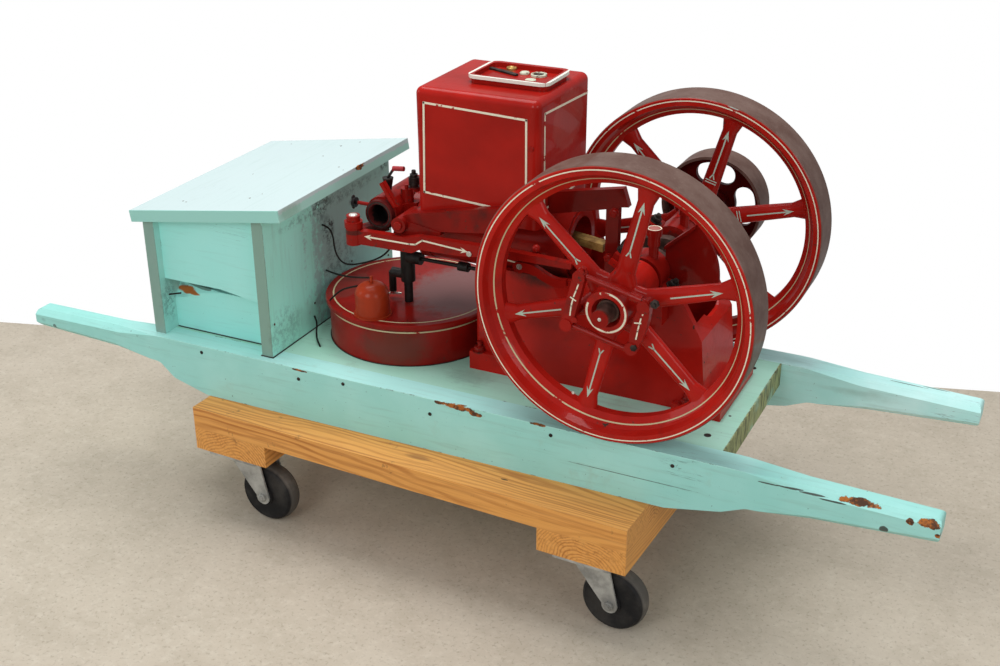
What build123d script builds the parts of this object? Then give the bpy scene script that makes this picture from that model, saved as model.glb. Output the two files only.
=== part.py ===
from build123d import *
import math
import os

os.makedirs("parts", exist_ok=True)

# Millimetres, +Z up, floor at Z = 0. +X runs along the rails to the flywheel end,
# -Y is the side with the governor, the middle of the rails is at X = 0.

# clearances
run_gap = 0.05
rim_gap = 7.0
swing_gap = 1.0
cord_gap = 0.3

# timber, dressed sizes
timber_t = 38.0
beam_w = 140.0
rail_l = 1524.0
rail_w = 41.0
rail_h = 89.0
deck_w = 299.0
near_board_w = 186.0
deck_x0 = -515.0
deck_x1 = 458.0

# dolly, which stands a little crooked under the rails
dolly_turn = -2.5
dolly_x = -10.0
dolly_l = 766.0
dolly_w = 500.0

# casters
wheel_r = 50.8
wheel_w = 32.0
# rounded tread: share of the half width, drop from the crown
tread = ((-1, 6.8), (-0.75, 3), (-0.44, 0.9), (0, 0), (0.44, 0.9), (0.75, 3), (1, 6.8))
plate_l = 102.0
plate_w = 95.0
plate_t = 4.0
axle_r = 5.0
pin_r = 6.0
fork_t = 3.0
fork_side = 6.0
crown_t = 6.0
crown_up = 10.0
trail = 36.0
fork_in = wheel_w + 2 * fork_side
caster_h = 130.0
crown_z = 2 * wheel_r + crown_up

# heights that stack up from the floor
rail_z = caster_h + 2 * timber_t
deck_z = rail_z + rail_h

# flywheels and shaft
eng_y = -11.0
crank_x = 300.0
fly_r = 202.0
fly_w = 63.5
fly_out = 206.5
rim_edge = 13.0
rim_mid = 31.0
hub_r = 31.0
hub_proud = 8.5
spoke_hub = 14.0
spoke_rim = 11.5
spoke_t = 8.5
spoke_flare = 1.55
crank_z = deck_z + fly_r + rim_gap
shaft_r = 16.0
stub_r = 12.7
stub_l = 29.8
throw = 50.0
pin_turn = 186.8
web_t = 16.0
web_in = 20.0
web_w = 44.0

# belt pulley
pul_r = 82.5
pul_w = 50.8
pul_rim = 4.5
pul_off = 28.0

# base and cylinder
base_hw = 61.0
base_far = 84.0
base_wall = 12.0
base_back = 276.0
base_front = 100.0
base_drop = 37.0
notch_y = 18.0
notch_w = 80.0
foot_out = 12.0
foot_t = 14.0
high_foot_t = 30.0
bear_w = 40.0
bear_r = 33.0
bear_in = 47.0
split_turn = 28.0
cyl_r = 58.0
bore_r = 42.0
cyl_l = 232.0
cyl_back = 360.0

# hopper
hop_l = 199.0
hop_hw = 93.0
hop_h = 191.0
hop_taper = 0.3
hop_round = 12.0
lip_x = -230.5
lip_y = 3.0
lip_l = 130.0
lip_w = 92.0
lip_h = 12.0
lip_wall = 5.0
tray_depth = 7.0

# fuel tank and cap
tank_x = -127.0
tank_y = 5.0
tank_r = 138.0
tank_h = 72.0
lid_lip = 6.0
cap_r = 27.0
cap_h = 52.0

# ignition wires
wire_d = 3.0


def save(part, node):
    part.label = node
    export_step(part, "parts/" + node + ".step")


def wire(points, node):
    """A tube of straight runs joined by the largest arcs that the runs allow."""
    runs = [Vector(b) - Vector(a) for a, b in zip(points, points[1:])]
    radii = []
    for one, two in zip(runs, runs[1:]):
        half_turn = math.radians(one.get_angle(two)) / 2
        radii.append(0.45 * min(one.length, two.length) / math.tan(half_turn))
    with BuildPart() as tube:
        with BuildLine() as path:
            FilletPolyline(*points, radius=radii)
        with BuildSketch(Plane(origin=points[0], z_dir=runs[0])):
            Circle(wire_d / 2)
        sweep()
    print(node, "length", round(sum(e.length for e in path.edges()), 1))
    save(tube.part, node)


def rel(x, y, z):
    """A point given from the crank axis: along +X, out from the engine's middle, up."""
    return (crank_x + x, eng_y + y, crank_z + z)


def side_plane(y):
    """Sketch plane at a distance y from the engine's middle; its axes are +X and +Z."""
    return Plane(origin=rel(0, y, 0), x_dir=(1, 0, 0), z_dir=(0, -1, 0))


# carrying rails, with handles shaped at both ends and bevelled along their edges
half_l = rail_l / 2
grip_h = 35.0
grip_bevel = 10.0
grip_end = 7.0
low_drop = 9.0
near_rail_y = eng_y - deck_w / 2 - rail_w
low_under = rail_h - grip_h - low_drop
high_under = rail_h - grip_h
# each bevel grows from nothing: height of the edge at its stations, and the way into the wood
grip_edges = (
    ((half_l - 265, rail_h - 0.5), (half_l - 180, rail_h - 3), (half_l + 1, rail_h - low_drop), -1),
    ((half_l - 240, rail_h * 0.35), (half_l - 170, rail_h * 0.39 - 0.6), (half_l + 1, low_under), 1),
    ((-half_l + 265, rail_h), (-half_l + 180, rail_h - 1), (-half_l - 1, rail_h - 3), -1),
    ((-half_l + 240, high_under - 10.5), (-half_l + 170, high_under - 6.5), (-half_l - 1, high_under), 1))
for node, y0 in (("rail_near", near_rail_y), ("rail_far", eng_y + deck_w / 2)):
    with BuildPart() as rail:
        with BuildSketch(Plane(origin=(0, y0, rail_z), x_dir=(1, 0, 0), z_dir=(0, -1, 0))):
            with BuildLine():
                Polyline((-half_l, high_under), (-half_l + 185, high_under - 7),
                         (-half_l + 263, high_under - 12), (-half_l + 290, rail_h * 0.2),
                         (-half_l + 355, 0), (half_l - 375, 0), (half_l - 292, rail_h * 0.18),
                         (half_l - 258, rail_h * 0.34), (half_l - 181, rail_h * 0.39),
                         (half_l, low_under), (half_l, rail_h - low_drop),
                         (half_l - 282, rail_h), (-half_l + 282, rail_h),
                         (-half_l, rail_h - 3), close=True)
            make_face()
        extrude(amount=-rail_w)
        for x_end in (-half_l, half_l):
            fillet(rail.edges().filter_by(Axis.Y).filter_by_position(Axis.X, x_end - 1, x_end + 1), grip_end)
        fillet(rail.edges().filter_by(Axis.Y).filter_by_position(Axis.X, -half_l + 180, -half_l + 360), 20)
        fillet(rail.edges().filter_by(Axis.Y).filter_by_position(Axis.X, half_l - 376, half_l - 180), 24)
        for *stations, into_z in grip_edges:
            for into_y, y_edge in ((1, y0), (-1, y0 + rail_w)):
                for (x, z), bevel in zip(stations, (1.2, grip_bevel, grip_bevel)):
                    with BuildSketch(Plane(origin=(x, y_edge, rail_z + z), x_dir=(0, 1, 0), z_dir=(1, 0, 0))):
                        Polygon((-into_y, -into_z), (into_y * bevel, -into_z), (-into_y, into_z * bevel),
                                align=None)
                loft(ruled=True, mode=Mode.SUBTRACT)
    save(rail.part, node)

deck_y0 = eng_y - deck_w / 2
for node, ya, yb in (("deck_board_near", deck_y0, deck_y0 + near_board_w),
                     ("deck_board_far", deck_y0 + near_board_w, deck_y0 + deck_w)):
    with BuildPart() as board:
        with Locations((deck_x0, ya, deck_z - timber_t)):
            Box(deck_x1 - deck_x0, yb - ya, timber_t, align=(Align.MIN, Align.MIN, Align.MIN))
    save(board.part, node)

# dolly timbers
dolly = Location((dolly_x, eng_y - 1.9, 0), (0, 0, dolly_turn))
for side, word in ((-1, "near"), (1, "far")):
    with BuildPart() as beam:
        with Locations(dolly * Location((0, side * (dolly_w - beam_w) / 2, caster_h + timber_t))):
            Box(dolly_l, beam_w, timber_t, align=(Align.CENTER, Align.CENTER, Align.MIN))
    save(beam.part, "dolly_beam_" + word)
for side, word in ((-1, "left"), (1, "right")):
    with BuildPart() as block:
        with Locations(dolly * Location((side * (dolly_l - beam_w) / 2, 0, caster_h))):
            Box(beam_w, dolly_w, timber_t, align=(Align.CENTER, Align.CENTER, Align.MIN))
    save(block.part, "dolly_block_" + word)

# swivel casters
boss_r = 26.0
boss_z = crown_z + crown_t + swing_gap
for i, (sx, sy) in enumerate(((-1, -1), (1, -1), (-1, 1), (1, 1))):
    pin = dolly * Location((sx * (dolly_l - beam_w) / 2, sy * (dolly_w - plate_l) / 2, 0))
    axle = pin * Location((trail, 0, wheel_r), (90, 0, 0))
    tag = str(i + 1)
    with BuildPart() as plate:
        with Locations(pin * Location((0, 0, caster_h - plate_t))):
            Box(plate_w, plate_l, plate_t, align=(Align.CENTER, Align.CENTER, Align.MIN))
        fillet(plate.edges().filter_by(Axis.Z), 6)
        with Locations(pin * Location((0, 0, boss_z))):
            Cone(boss_r, boss_r + 6, caster_h - plate_t - boss_z,
                 align=(Align.CENTER, Align.CENTER, Align.MIN))
            Cylinder(pin_r + run_gap, crown_t + swing_gap,
                     align=(Align.CENTER, Align.CENTER, Align.MIN), mode=Mode.SUBTRACT)
    save(plate.part, "caster_plate_" + tag)
    with BuildPart() as fork:
        with Locations(pin * Location((0, 0, crown_z))):
            Cylinder(boss_r + 3, crown_t, align=(Align.CENTER, Align.CENTER, Align.MIN))
            Cylinder(pin_r, crown_t + crown_t, align=(Align.CENTER, Align.CENTER, Align.MIN))
        for s in (-1, 1):
            face = Plane(pin * Location((0, s * (fork_in + fork_t) / 2 + fork_t / 2, 0), (90, 0, 0)))
            with BuildSketch(face):
                with BuildLine():
                    top = crown_z + crown_t / 2
                    Polyline((-boss_r, top), (boss_r + 8, top), (trail + 12, wheel_r + 3))
                    ThreePointArc((trail + 12, wheel_r + 3), (trail, wheel_r - 13),
                                  (trail - 12, wheel_r + 1))
                    Polyline((trail - 12, wheel_r + 1), (-boss_r, top))
                make_face()
            extrude(amount=fork_t)
        with Locations(axle):
            Cylinder(axle_r, fork_in + 2 * fork_t + 14)
    save(fork.part, "caster_fork_" + tag)
    with BuildPart() as wheel:
        with BuildSketch(Plane(axle * Location((0, 0, 0), (90, 0, 0)))):
            with BuildLine():
                Polyline((0, -wheel_w / 2), *[(wheel_r - drop, share * wheel_w / 2) for share, drop in tread],
                         (0, wheel_w / 2), close=True)
            make_face()
        revolve(axis=Axis(axle.position, Plane(axle).z_dir))
        with Locations(axle):
            Cylinder(wheel_r * 0.3, fork_in - 2 * swing_gap)
            Cylinder(axle_r + run_gap, fork_in, mode=Mode.SUBTRACT)
    save(wheel.part, "caster_wheel_" + tag)

# battery box: two end boards, recessed front boards with a gap between, a sloping lid
box_x0 = -511.0
box_l = 232.0
box_y0 = -187.7
box_w = 384.7
box_t = 20.0
box_h = 197.0
gap_z = deck_z + 78.0
gap_h = 17.0
sag_l = 82.0
sag_h = 11.5
split_l = 95.0
split_h = 25.0
lid_t = 19.0
lid_over = 15.5
lid_front = 8.0
lid_l = 290.0
lid_w = 399.0
lid_tilt = 8.7
box_x1 = box_x0 + box_l
slope = math.tan(math.radians(lid_tilt))


def lid_under(x):
    return deck_z + box_h + (x - box_x0) * slope


box_plane = Plane(origin=(0, box_y0, 0), x_dir=(1, 0, 0), z_dir=(0, -1, 0))
for node, xa in (("box_end_low", box_x0), ("box_end_high", box_x1 - box_t)):
    xb = xa + box_t
    with BuildPart() as board:
        with BuildSketch(box_plane):
            Polygon((xa, deck_z), (xb, deck_z), (xb, lid_under(xb)), (xa, lid_under(xa)), align=None)
        extrude(amount=-box_w)
    save(board.part, node)
in_x0 = box_x0 + box_t
in_x1 = box_x1 - box_t
upper_z = gap_z + gap_h
front_y = box_y0 + 1.7 * box_t
full = ((in_x0, deck_z), (in_x1, deck_z), (in_x1, lid_under(in_x1)), (in_x0, lid_under(in_x0)))
sagging = ((in_x0, upper_z), (in_x1 - sag_l, upper_z), (in_x1, upper_z - sag_h)) + full[2:]
for node, depth, outline in (("box_front_upper", 0.7 * box_t, sagging), ("box_back", box_w - box_t, full)):
    with BuildPart() as board:
        with BuildSketch(box_plane.offset(-depth)):
            Polygon(*outline, align=None)
        extrude(amount=-box_t)
    save(board.part, node)
with BuildPart() as board:
    with Locations((in_x0, front_y, deck_z)):
        Box(in_x1 - in_x0, box_t, gap_z - deck_z, align=(Align.MIN, Align.MIN, Align.MIN))
    # the low end of its top edge has split away on a slant
    for along, drop in ((0, 1), (0.27, 0.8), (0.55, 0.36), (1, 0.04)):
        with BuildSketch(Plane(origin=(in_x0 + along * split_l, front_y, gap_z), x_dir=(0, 1, 0),
                               z_dir=(1, 0, 0))):
            Polygon((-1, 1), (-1, -drop * split_h), (0, -drop * split_h), (drop * box_t, 0),
                    (drop * box_t, 1), align=None)
    loft(ruled=True, mode=Mode.SUBTRACT)
save(board.part, "box_front_lower")
with BuildPart() as lid:
    with Locations(Location((box_x0, box_y0 - lid_front, deck_z + box_h), (0, -lid_tilt, 0))
                   * Location((-lid_over, 0, 0))):
        Box(lid_l, lid_w, lid_t, align=(Align.MIN, Align.MIN, Align.MIN))
save(lid.part, "box_lid")

# cylinder, lying under the hopper
cyl_x0 = -cyl_back
cyl_x1 = cyl_x0 + cyl_l
with BuildPart() as cyl:
    with Locations(Location(rel(cyl_x0, 0, 0), (0, 90, 0))):
        Cylinder(cyl_r, cyl_l, align=(Align.CENTER, Align.CENTER, Align.MIN))
    with Locations(Location(rel(cyl_x1 - 12, 0, 0), (0, 90, 0))):
        Cylinder(cyl_r - 6, 14, align=(Align.CENTER, Align.CENTER, Align.MIN))
    with Locations(Location(rel(cyl_x0, 0, 0), (0, 90, 0))):
        Cylinder(bore_r, cyl_l + 10, align=(Align.CENTER, Align.CENTER, Align.MIN), mode=Mode.SUBTRACT)
save(cyl.part, "cylinder")

# piston and the visible end of the connecting rod
piston_l = 90.0
rod_end = -87.0
rod_drop = 10.0
with BuildPart() as piston:
    with Locations(Location(rel(cyl_x1 - 30 - piston_l, 0, 0), (0, 90, 0))):
        Cylinder(bore_r, piston_l, align=(Align.CENTER, Align.CENTER, Align.MIN))
    with BuildSketch(side_plane(-10)):
        x_in = cyl_x1 - 32
        Polygon((x_in, 18), (rod_end, 8), (rod_end, -4), (x_in, 6), align=None)
    extrude(amount=-20)
save(piston.part, "piston_and_rod")

# engine base
base_x0 = -base_back
base_x1 = base_front
base_z0 = -(crank_z - deck_z)
with BuildPart() as base:
    with BuildSketch(side_plane(-base_hw)):
        with BuildLine():
            Polyline((base_x0, base_z0), (base_x0, -base_drop - 8), (base_x0 + 8, -base_drop),
                     (base_x1 - 43, -base_drop), (base_x1 - 11, -base_drop - 56),
                     (base_x1, base_z0), close=True)
        make_face()
    extrude(amount=-(base_hw + base_far))
    fillet(base.edges().filter_by(Axis.Z), 10)
    for fx, fl, ft in ((base_x0 - 4, 84, high_foot_t), (base_x1 - 48, 75, foot_t)):
        with Locations(rel(fx, -base_hw - foot_out, base_z0)):
            Box(fl, base_hw + base_far + 2 * foot_out, ft, align=(Align.MIN, Align.MIN, Align.MIN))
    with Locations(rel(base_x0 + base_wall, base_wall - base_hw, base_z0 + base_wall)):
        Box(base_x1 - base_x0 - 3 * base_wall, base_hw + base_far - 2 * base_wall, crank_z - deck_z,
            align=(Align.MIN, Align.MIN, Align.MIN), mode=Mode.SUBTRACT)
    with BuildSketch(Plane(origin=rel(base_x1 - 60, 0, 0), x_dir=(0, 1, 0), z_dir=(1, 0, 0))):
        with Locations((notch_y, -base_drop)):
            RectangleRounded(notch_w, 86, 28)
    extrude(amount=60, mode=Mode.SUBTRACT)
    for s in (-1, 1):
        with BuildSketch(side_plane(s * bear_in)):
            with BuildLine():
                Polyline((-bear_r, 0), (-bear_r - 3, -base_drop - 30), (bear_r + 3, -base_drop - 30),
                         (bear_r, 0), close=True)
            make_face()
        extrude(amount=-s * bear_w)
        with Locations(Location(rel(0, s * (bear_in + bear_w / 2), 0), (90, 0, 0))):
            Cylinder(bear_r, bear_w)
        with Locations(Location(rel(0, s * (bear_in + bear_w / 2), 0), (0, split_turn, 0))):
            Box(2 * bear_r + 34, bear_w, 10, align=(Align.CENTER, Align.CENTER, Align.MAX))
            Box(200, bear_w + 2, 100, align=(Align.CENTER, Align.CENTER, Align.MIN), mode=Mode.SUBTRACT)
        with Locations(Location(rel(0, s * (bear_in + bear_w / 2), 0), (90, 0, 0))):
            Cylinder(shaft_r + run_gap, bear_w + 2, mode=Mode.SUBTRACT)
    with Locations(Location(rel(cyl_x0, 0, 0), (0, 90, 0))):
        Cylinder(cyl_r, cyl_l, align=(Align.CENTER, Align.CENTER, Align.MIN), mode=Mode.SUBTRACT)
save(base.part, "engine_base")

# bearing caps, split on a slant, each with a grease cup
cup_x = 12.0
for node, s in (("bearing_cap_near", -1), ("bearing_cap_far", 1)):
    mid = rel(0, s * (bear_in + bear_w / 2), 0)
    with BuildPart() as bearing_cap:
        with Locations(Location(mid, (90, 0, 0))):
            Cylinder(bear_r - 1, bear_w)
        with Locations(Location(mid, (0, split_turn, 0))):
            Box(2 * bear_r + 34, bear_w - 6, 9, align=(Align.CENTER, Align.CENTER, Align.MIN))
            Box(200, bear_w + 2, 100, align=(Align.CENTER, Align.CENTER, Align.MAX), mode=Mode.SUBTRACT)
        with Locations(rel(cup_x, s * (bear_in + bear_w / 2), bear_r - 6)):
            Cylinder(7, 20, align=(Align.CENTER, Align.CENTER, Align.MIN))
        with Locations(rel(cup_x, s * (bear_in + bear_w / 2), bear_r + 13)):
            Cylinder(9, 18, align=(Align.CENTER, Align.CENTER, Align.MIN))
        with Locations(rel(cup_x, s * (bear_in + bear_w / 2), bear_r + 28)):
            Cylinder(11, 10, align=(Align.CENTER, Align.CENTER, Align.MIN))
        with Locations(Location(mid, (90, 0, 0))):
            Cylinder(shaft_r + run_gap, bear_w + 2, mode=Mode.SUBTRACT)
    save(bearing_cap.part, node)
    if s < 0:
        cap_near = bearing_cap

# crankshaft: two webs, the pin between them, stub ends
near_end = fly_out + hub_proud - 6 + stub_l
far_end = fly_out + pul_off + pul_w + 5
with BuildPart() as crank:
    for s, y_out in ((-1, near_end - stub_l), (1, far_end)):
        with Locations(Location(rel(0, s * (web_in + y_out) / 2, 0), (90, 0, 0))):
            Cylinder(shaft_r, y_out - web_in)
        with BuildSketch(side_plane(s * web_in)):
            with Locations(Location((0, 0), pin_turn)):
                with Locations((throw / 2, 0)):
                    SlotCenterToCenter(throw, web_w)
        extrude(amount=-s * web_t)
    with Locations(Location(rel(0, -near_end + stub_l / 2, 0), (90, 0, 0))):
        Cylinder(stub_r, stub_l)
    a = math.radians(pin_turn)
    with Locations(Location(rel(throw * math.cos(a), 0, throw * math.sin(a)), (90, 0, 0))):
        Cylinder(15, 2 * web_in + 2)
save(crank.part, "crankshaft")

# flywheels: a rim that thickens towards its middle, six oval spokes, a hub
rim_in = fly_r - rim_mid
rim_steps = ((0, 2), (2, 0), (rim_edge, 0), (rim_edge + 4, 11), (rim_edge + 7, 15), (rim_edge + 12, 20),
             (rim_mid, 25))


def flywheel(s, turn):
    yc = s * (fly_out - fly_w / 2)
    half = fly_w / 2
    with BuildPart() as fly:
        with BuildSketch(Plane(origin=rel(0, yc, 0), x_dir=(1, 0, 0), z_dir=(0, 0, 1))):
            with BuildLine():
                Polyline(*[(fly_r - inward, end * (half - depth))
                           for end, steps in ((1, rim_steps), (-1, rim_steps[::-1]))
                           for inward, depth in steps], close=True)
            make_face()
        revolve(axis=Axis(rel(0, yc, 0), (0, 1, 0)))
        for k in range(6):
            out = Location(rel(0, yc, 0), (0, 90 - (turn + 60 * k), 0))
            for reach, wide in ((hub_r * 0.5, spoke_hub * spoke_flare), (hub_r + 2, spoke_hub * spoke_flare),
                                (hub_r + 18, spoke_hub), (rim_in - 18, spoke_rim),
                                (rim_in + 4, spoke_rim * spoke_flare)):
                with BuildSketch(Plane(out * Location((0, 0, reach)))):
                    Ellipse(wide, spoke_t)
            loft(ruled=True)
        inner = fly_out - bear_in - bear_w - 6
        with Locations(Location(rel(0, yc + s * (half + hub_proud - (inner + hub_proud) / 2), 0), (90, 0, 0))):
            Cylinder(hub_r, inner + hub_proud)
        with Locations(Location(rel(0, s * fly_out, 0), (90, 0, 0))):
            Cylinder(shaft_r, 4 * fly_w, mode=Mode.SUBTRACT)
        if s < 0:
            with Locations(Location(rel(0, s * (fly_out + hub_proud), 0), (-90, 0, 0))):
                Cone(shaft_r + 5, shaft_r + 1, 12, align=(Align.CENTER, Align.CENTER, Align.MIN),
                     mode=Mode.SUBTRACT)
    return fly


near_turn = 16.5
far_turn = 14.5
fly_near = flywheel(-1, near_turn)
save(fly_near.part, "flywheel_near")
save(flywheel(1, far_turn).part, "flywheel_far")

# belt pulley: a thin rim on a web with four kidney holes
pul_y = fly_out + pul_off + pul_w / 2
hole_mid = pul_r * 0.62
with BuildPart() as pulley:
    with Locations(Location(rel(0, pul_y, 0), (90, 0, 0))):
        Cylinder(pul_r, pul_w)
        Cylinder(pul_r - pul_rim, pul_w, mode=Mode.SUBTRACT)
        Cylinder(pul_r - pul_rim / 2, 9)
        Cylinder(shaft_r + 9, pul_w)
        Cylinder(shaft_r, pul_w, mode=Mode.SUBTRACT)
    with BuildSketch(side_plane(pul_y - 10)):
        with PolarLocations((0, 0), 4, start_angle=1):
            with BuildLine():
                hole_arc = CenterArc((0, 0), hole_mid, -18, 36)
            SlotArc(hole_arc, pul_r * 0.4)
    extrude(amount=-20, mode=Mode.SUBTRACT)
save(pulley.part, "belt_pulley")

# governor on the near wheel: two weights, links and their posts on the spokes
gov_y = -fly_out - 8.0
weight_l = 82.0
weight_off = 48.0
link_up = 43.0
gov_plane = Plane(side_plane(gov_y).location * Location((0, 0, 0), (0, 0, near_turn + 60 - 90)))
with BuildPart() as gov:
    with BuildSketch(gov_plane):
        with Locations((-weight_off, 0)):
            SlotOverall(weight_l, 17, rotation=90)
        with Locations((weight_off + 2, 4)):
            Ellipse(10, weight_l / 2)
    extrude(amount=6, both=True)
    for h, r in ((link_up, 4), (-link_up + 8, 4)):
        with Locations(gov_plane.location * Location((0, h - 4, 0), (0, 90, 0))):
            Cylinder(r, 2 * weight_off)
    with Locations(gov_plane.location * Location((weight_off - 14, link_up - 4, 0), (0, 90, 0))):
        Cylinder(6.5, 16)
    for sx, h in ((-1, link_up - 6), (-1, -link_up + 4), (1, link_up - 10), (1, -link_up + 10)):
        with Locations(gov_plane.location * Location((sx * weight_off, h, 0))):
            Cylinder(9, 16)
    for sx in (-1, 1):
        with Locations(gov_plane.location * Location((sx * weight_off, -0.577 * weight_off, 0))):
            Cylinder(7, 40, align=(Align.CENTER, Align.CENTER, Align.MAX))
    add(fly_near.part, mode=Mode.SUBTRACT)
save(gov.part.solids().sort_by(SortBy.VOLUME)[-1], "governor")

# hopper: tapered and rounded, with a lipped tray on top
hop_x = -354.0 + hop_l / 2
hop_z0 = cyl_r - 11.0
with BuildPart() as hopper:
    with BuildSketch(Plane(origin=rel(hop_x, 0, hop_z0 + hop_h), x_dir=(1, 0, 0), z_dir=(0, 0, -1))):
        RectangleRounded(hop_l, 2 * hop_hw, hop_round)
    extrude(amount=hop_h, taper=hop_taper)
    fillet(hopper.faces().sort_by(Axis.Z)[-1].edges(), hop_round - 1)
    for z, amount, shrink, corner, how in ((0, lip_h, 4, 11, Mode.ADD), (lip_h - 5, 5, 0, 15, Mode.ADD),
                                           (lip_h, -tray_depth, lip_wall + 3, 8, Mode.SUBTRACT)):
        with BuildSketch(Plane(rel(lip_x, lip_y, hop_z0 + hop_h + z))):
            RectangleRounded(lip_l - 2 * shrink, lip_w - 2 * shrink, corner)
        extrude(amount=amount, mode=how)
    with Locations(Location(rel(cyl_x0, 0, 0), (0, 90, 0))):
        Cylinder(cyl_r, 2 * cyl_l, align=(Align.CENTER, Align.CENTER, Align.MIN), mode=Mode.SUBTRACT)
save(hopper.part, "water_hopper")


# side rod, jogged, with the barrel at its left end
rod_out = -123.0
barrel_x = -452.0
barrel_y = -117.0
barrel_r = 12.5
with BuildPart() as side_rod:
    with BuildSketch(side_plane(rod_out)):
        with BuildLine():
            Polyline((barrel_x, 12), (-360, 14.5), (-338, 20), (-192, 23), (-90, 20), (-90, 11),
                     (-192, 10.5), (-272, 0.5), (-335, -1), (-349, -8.5), (barrel_x, -10), close=True)
        make_face()
        fillet(vertices().group_by(Axis.X)[-1], 3)
    extrude(amount=-12)
    with Locations(rel(barrel_x, barrel_y, -12)):
        Cylinder(barrel_r, 26, align=(Align.CENTER, Align.CENTER, Align.MIN))
        Cylinder(barrel_r - 2, 46, align=(Align.CENTER, Align.CENTER, Align.MIN))
    with Locations(rel(barrel_x, barrel_y, 15)):
        Cylinder(barrel_r + 1.5, 10, align=(Align.CENTER, Align.CENTER, Align.MIN))
save(side_rod.part, "side_rod")

# cylinder head: flange, body, exhaust housing with its port, rocker bracket, lugs
port_x = -421.0
port_z = 31.0
port_r = 23.0
port_hole = 13.0
port_out = 94.0
house_r = 26.0
with BuildPart() as head:
    with Locations(Location(rel(cyl_x0, 0, 0), (0, -90, 0))):
        Cylinder(cyl_r + 2, 18, align=(Align.CENTER, Align.CENTER, Align.MIN))
        Cylinder(cyl_r - 8, 37, align=(Align.CENTER, Align.CENTER, Align.MIN))
    with Locations(Location(rel(port_x, -port_out + 10, port_z), (-90, 0, 0))):
        Cylinder(house_r, port_out + 20, align=(Align.CENTER, Align.CENTER, Align.MIN))
    with BuildSketch(Plane(origin=rel(0, 0, port_z - 24), x_dir=(1, 0, 0), z_dir=(0, 0, 1))):
        Polygon((port_x - 16, -port_out + 18), (port_x + 10, -port_out + 18), (cyl_x0 - 20, -46),
                (cyl_x0 - 20, 36), (port_x, 30), (port_x - 16, 10), align=None)
    extrude(amount=34)
    with Locations(Location(rel(port_x, -port_out, port_z), (-90, 0, 0))):
        Cylinder(port_r, 12, align=(Align.CENTER, Align.CENTER, Align.MIN))
        Cone(port_hole + 4, port_hole, 14, align=(Align.CENTER, Align.CENTER, Align.MIN),
             mode=Mode.SUBTRACT)
        Cylinder(port_hole, 34, align=(Align.CENTER, Align.CENTER, Align.MIN), mode=Mode.SUBTRACT)
    with BuildSketch(Plane(origin=rel(0, 0, -2), x_dir=(1, 0, 0), z_dir=(0, 0, 1))):
        Polygon((barrel_x - 6, barrel_y + 2), (barrel_x + 9, barrel_y - 2), (port_x + 4, -70),
                (port_x - 14, -64), align=None)
    extrude(amount=15)
    with Locations(Location(rel(port_x - house_r + 4, -60, port_z), (0, -90, 0))):
        Cylinder(3, 42, align=(Align.CENTER, Align.CENTER, Align.MIN))
    with Locations(Location(rel(port_x - house_r - 34, -60, port_z), (0, -90, 0))):
        Cylinder(8, 5, align=(Align.CENTER, Align.CENTER, Align.MIN))
    with Locations(rel(port_x + 24, -46, port_z - 10)):
        Cylinder(10, 42, align=(Align.CENTER, Align.CENTER, Align.MIN))
    with Locations(rel(port_x + 32, -38, port_z + 26)):
        Cylinder(6.5, 22, align=(Align.CENTER, Align.CENTER, Align.MIN))
        Cylinder(9, 7, align=(Align.CENTER, Align.CENTER, Align.MIN))
    with Locations(Location(rel(port_x + 12.7, -80, port_z + 30), (0, -32.7, 0))):
        Box(8, 8, 44, align=(Align.CENTER, Align.CENTER, Align.CENTER))
    add(side_rod.part, mode=Mode.SUBTRACT)
    add(hopper.part, mode=Mode.SUBTRACT)
save(head.part, "cylinder_head")

# pivot arm: a boss with a tail, on a wide arm that widens towards the hopper
with BuildPart() as arm:
    with BuildSketch(side_plane(-108)):
        Polygon((-386, 34), (-362, 46), (-248, 72), (-190, 82), (-190, 46), (-240, 36), (-306, 27),
                (-372, 12), align=None)
    extrude(amount=-40)
    with BuildSketch(side_plane(-110)):
        Polygon((-384, 10), (-306, 22), (-306, 27), (-380, 38), align=None)
    extrude(amount=-20)
    with Locations(Location(rel(-373.4, -118, 29.9), (-90, 0, 0))):
        Cylinder(12, 56, align=(Align.CENTER, Align.CENTER, Align.MIN))
    add(hopper.part, mode=Mode.SUBTRACT)
    add(head.part, mode=Mode.SUBTRACT)
    with Locations(Location(rel(cyl_x0 - 20, 0, 0), (0, 90, 0))):
        Cylinder(cyl_r + 2, 20, align=(Align.CENTER, Align.CENTER, Align.MIN), mode=Mode.SUBTRACT)
        Cylinder(cyl_r, cyl_l + 20, align=(Align.CENTER, Align.CENTER, Align.MIN), mode=Mode.SUBTRACT)
save(arm.part.solids().sort_by(SortBy.VOLUME)[-1], "pivot_arm")

# priming cup with its tap handle
cup_foot = rel(port_x - 1, -60, port_z + house_r - 4)
with BuildPart() as cup:
    with Locations(cup_foot):
        Cylinder(4, 12, align=(Align.CENTER, Align.CENTER, Align.MIN))
    with Locations(Location(cup_foot) * Location((0, 0, 7))):
        Cone(5, 8.5, 20, align=(Align.CENTER, Align.CENTER, Align.MIN))
    with Locations(Location(cup_foot) * Location((0, 0, 27), (0, 35, 0))):
        Cylinder(2.2, 20, align=(Align.CENTER, Align.CENTER, Align.MIN))
    with Locations(Location(cup_foot) * Location((10, 0, 43), (0, 84, 0))):
        Cylinder(3.8, 19, align=(Align.CENTER, Align.CENTER, Align.MIN))
    add(head.part, mode=Mode.SUBTRACT)
save(cup.part, "priming_cup")

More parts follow.
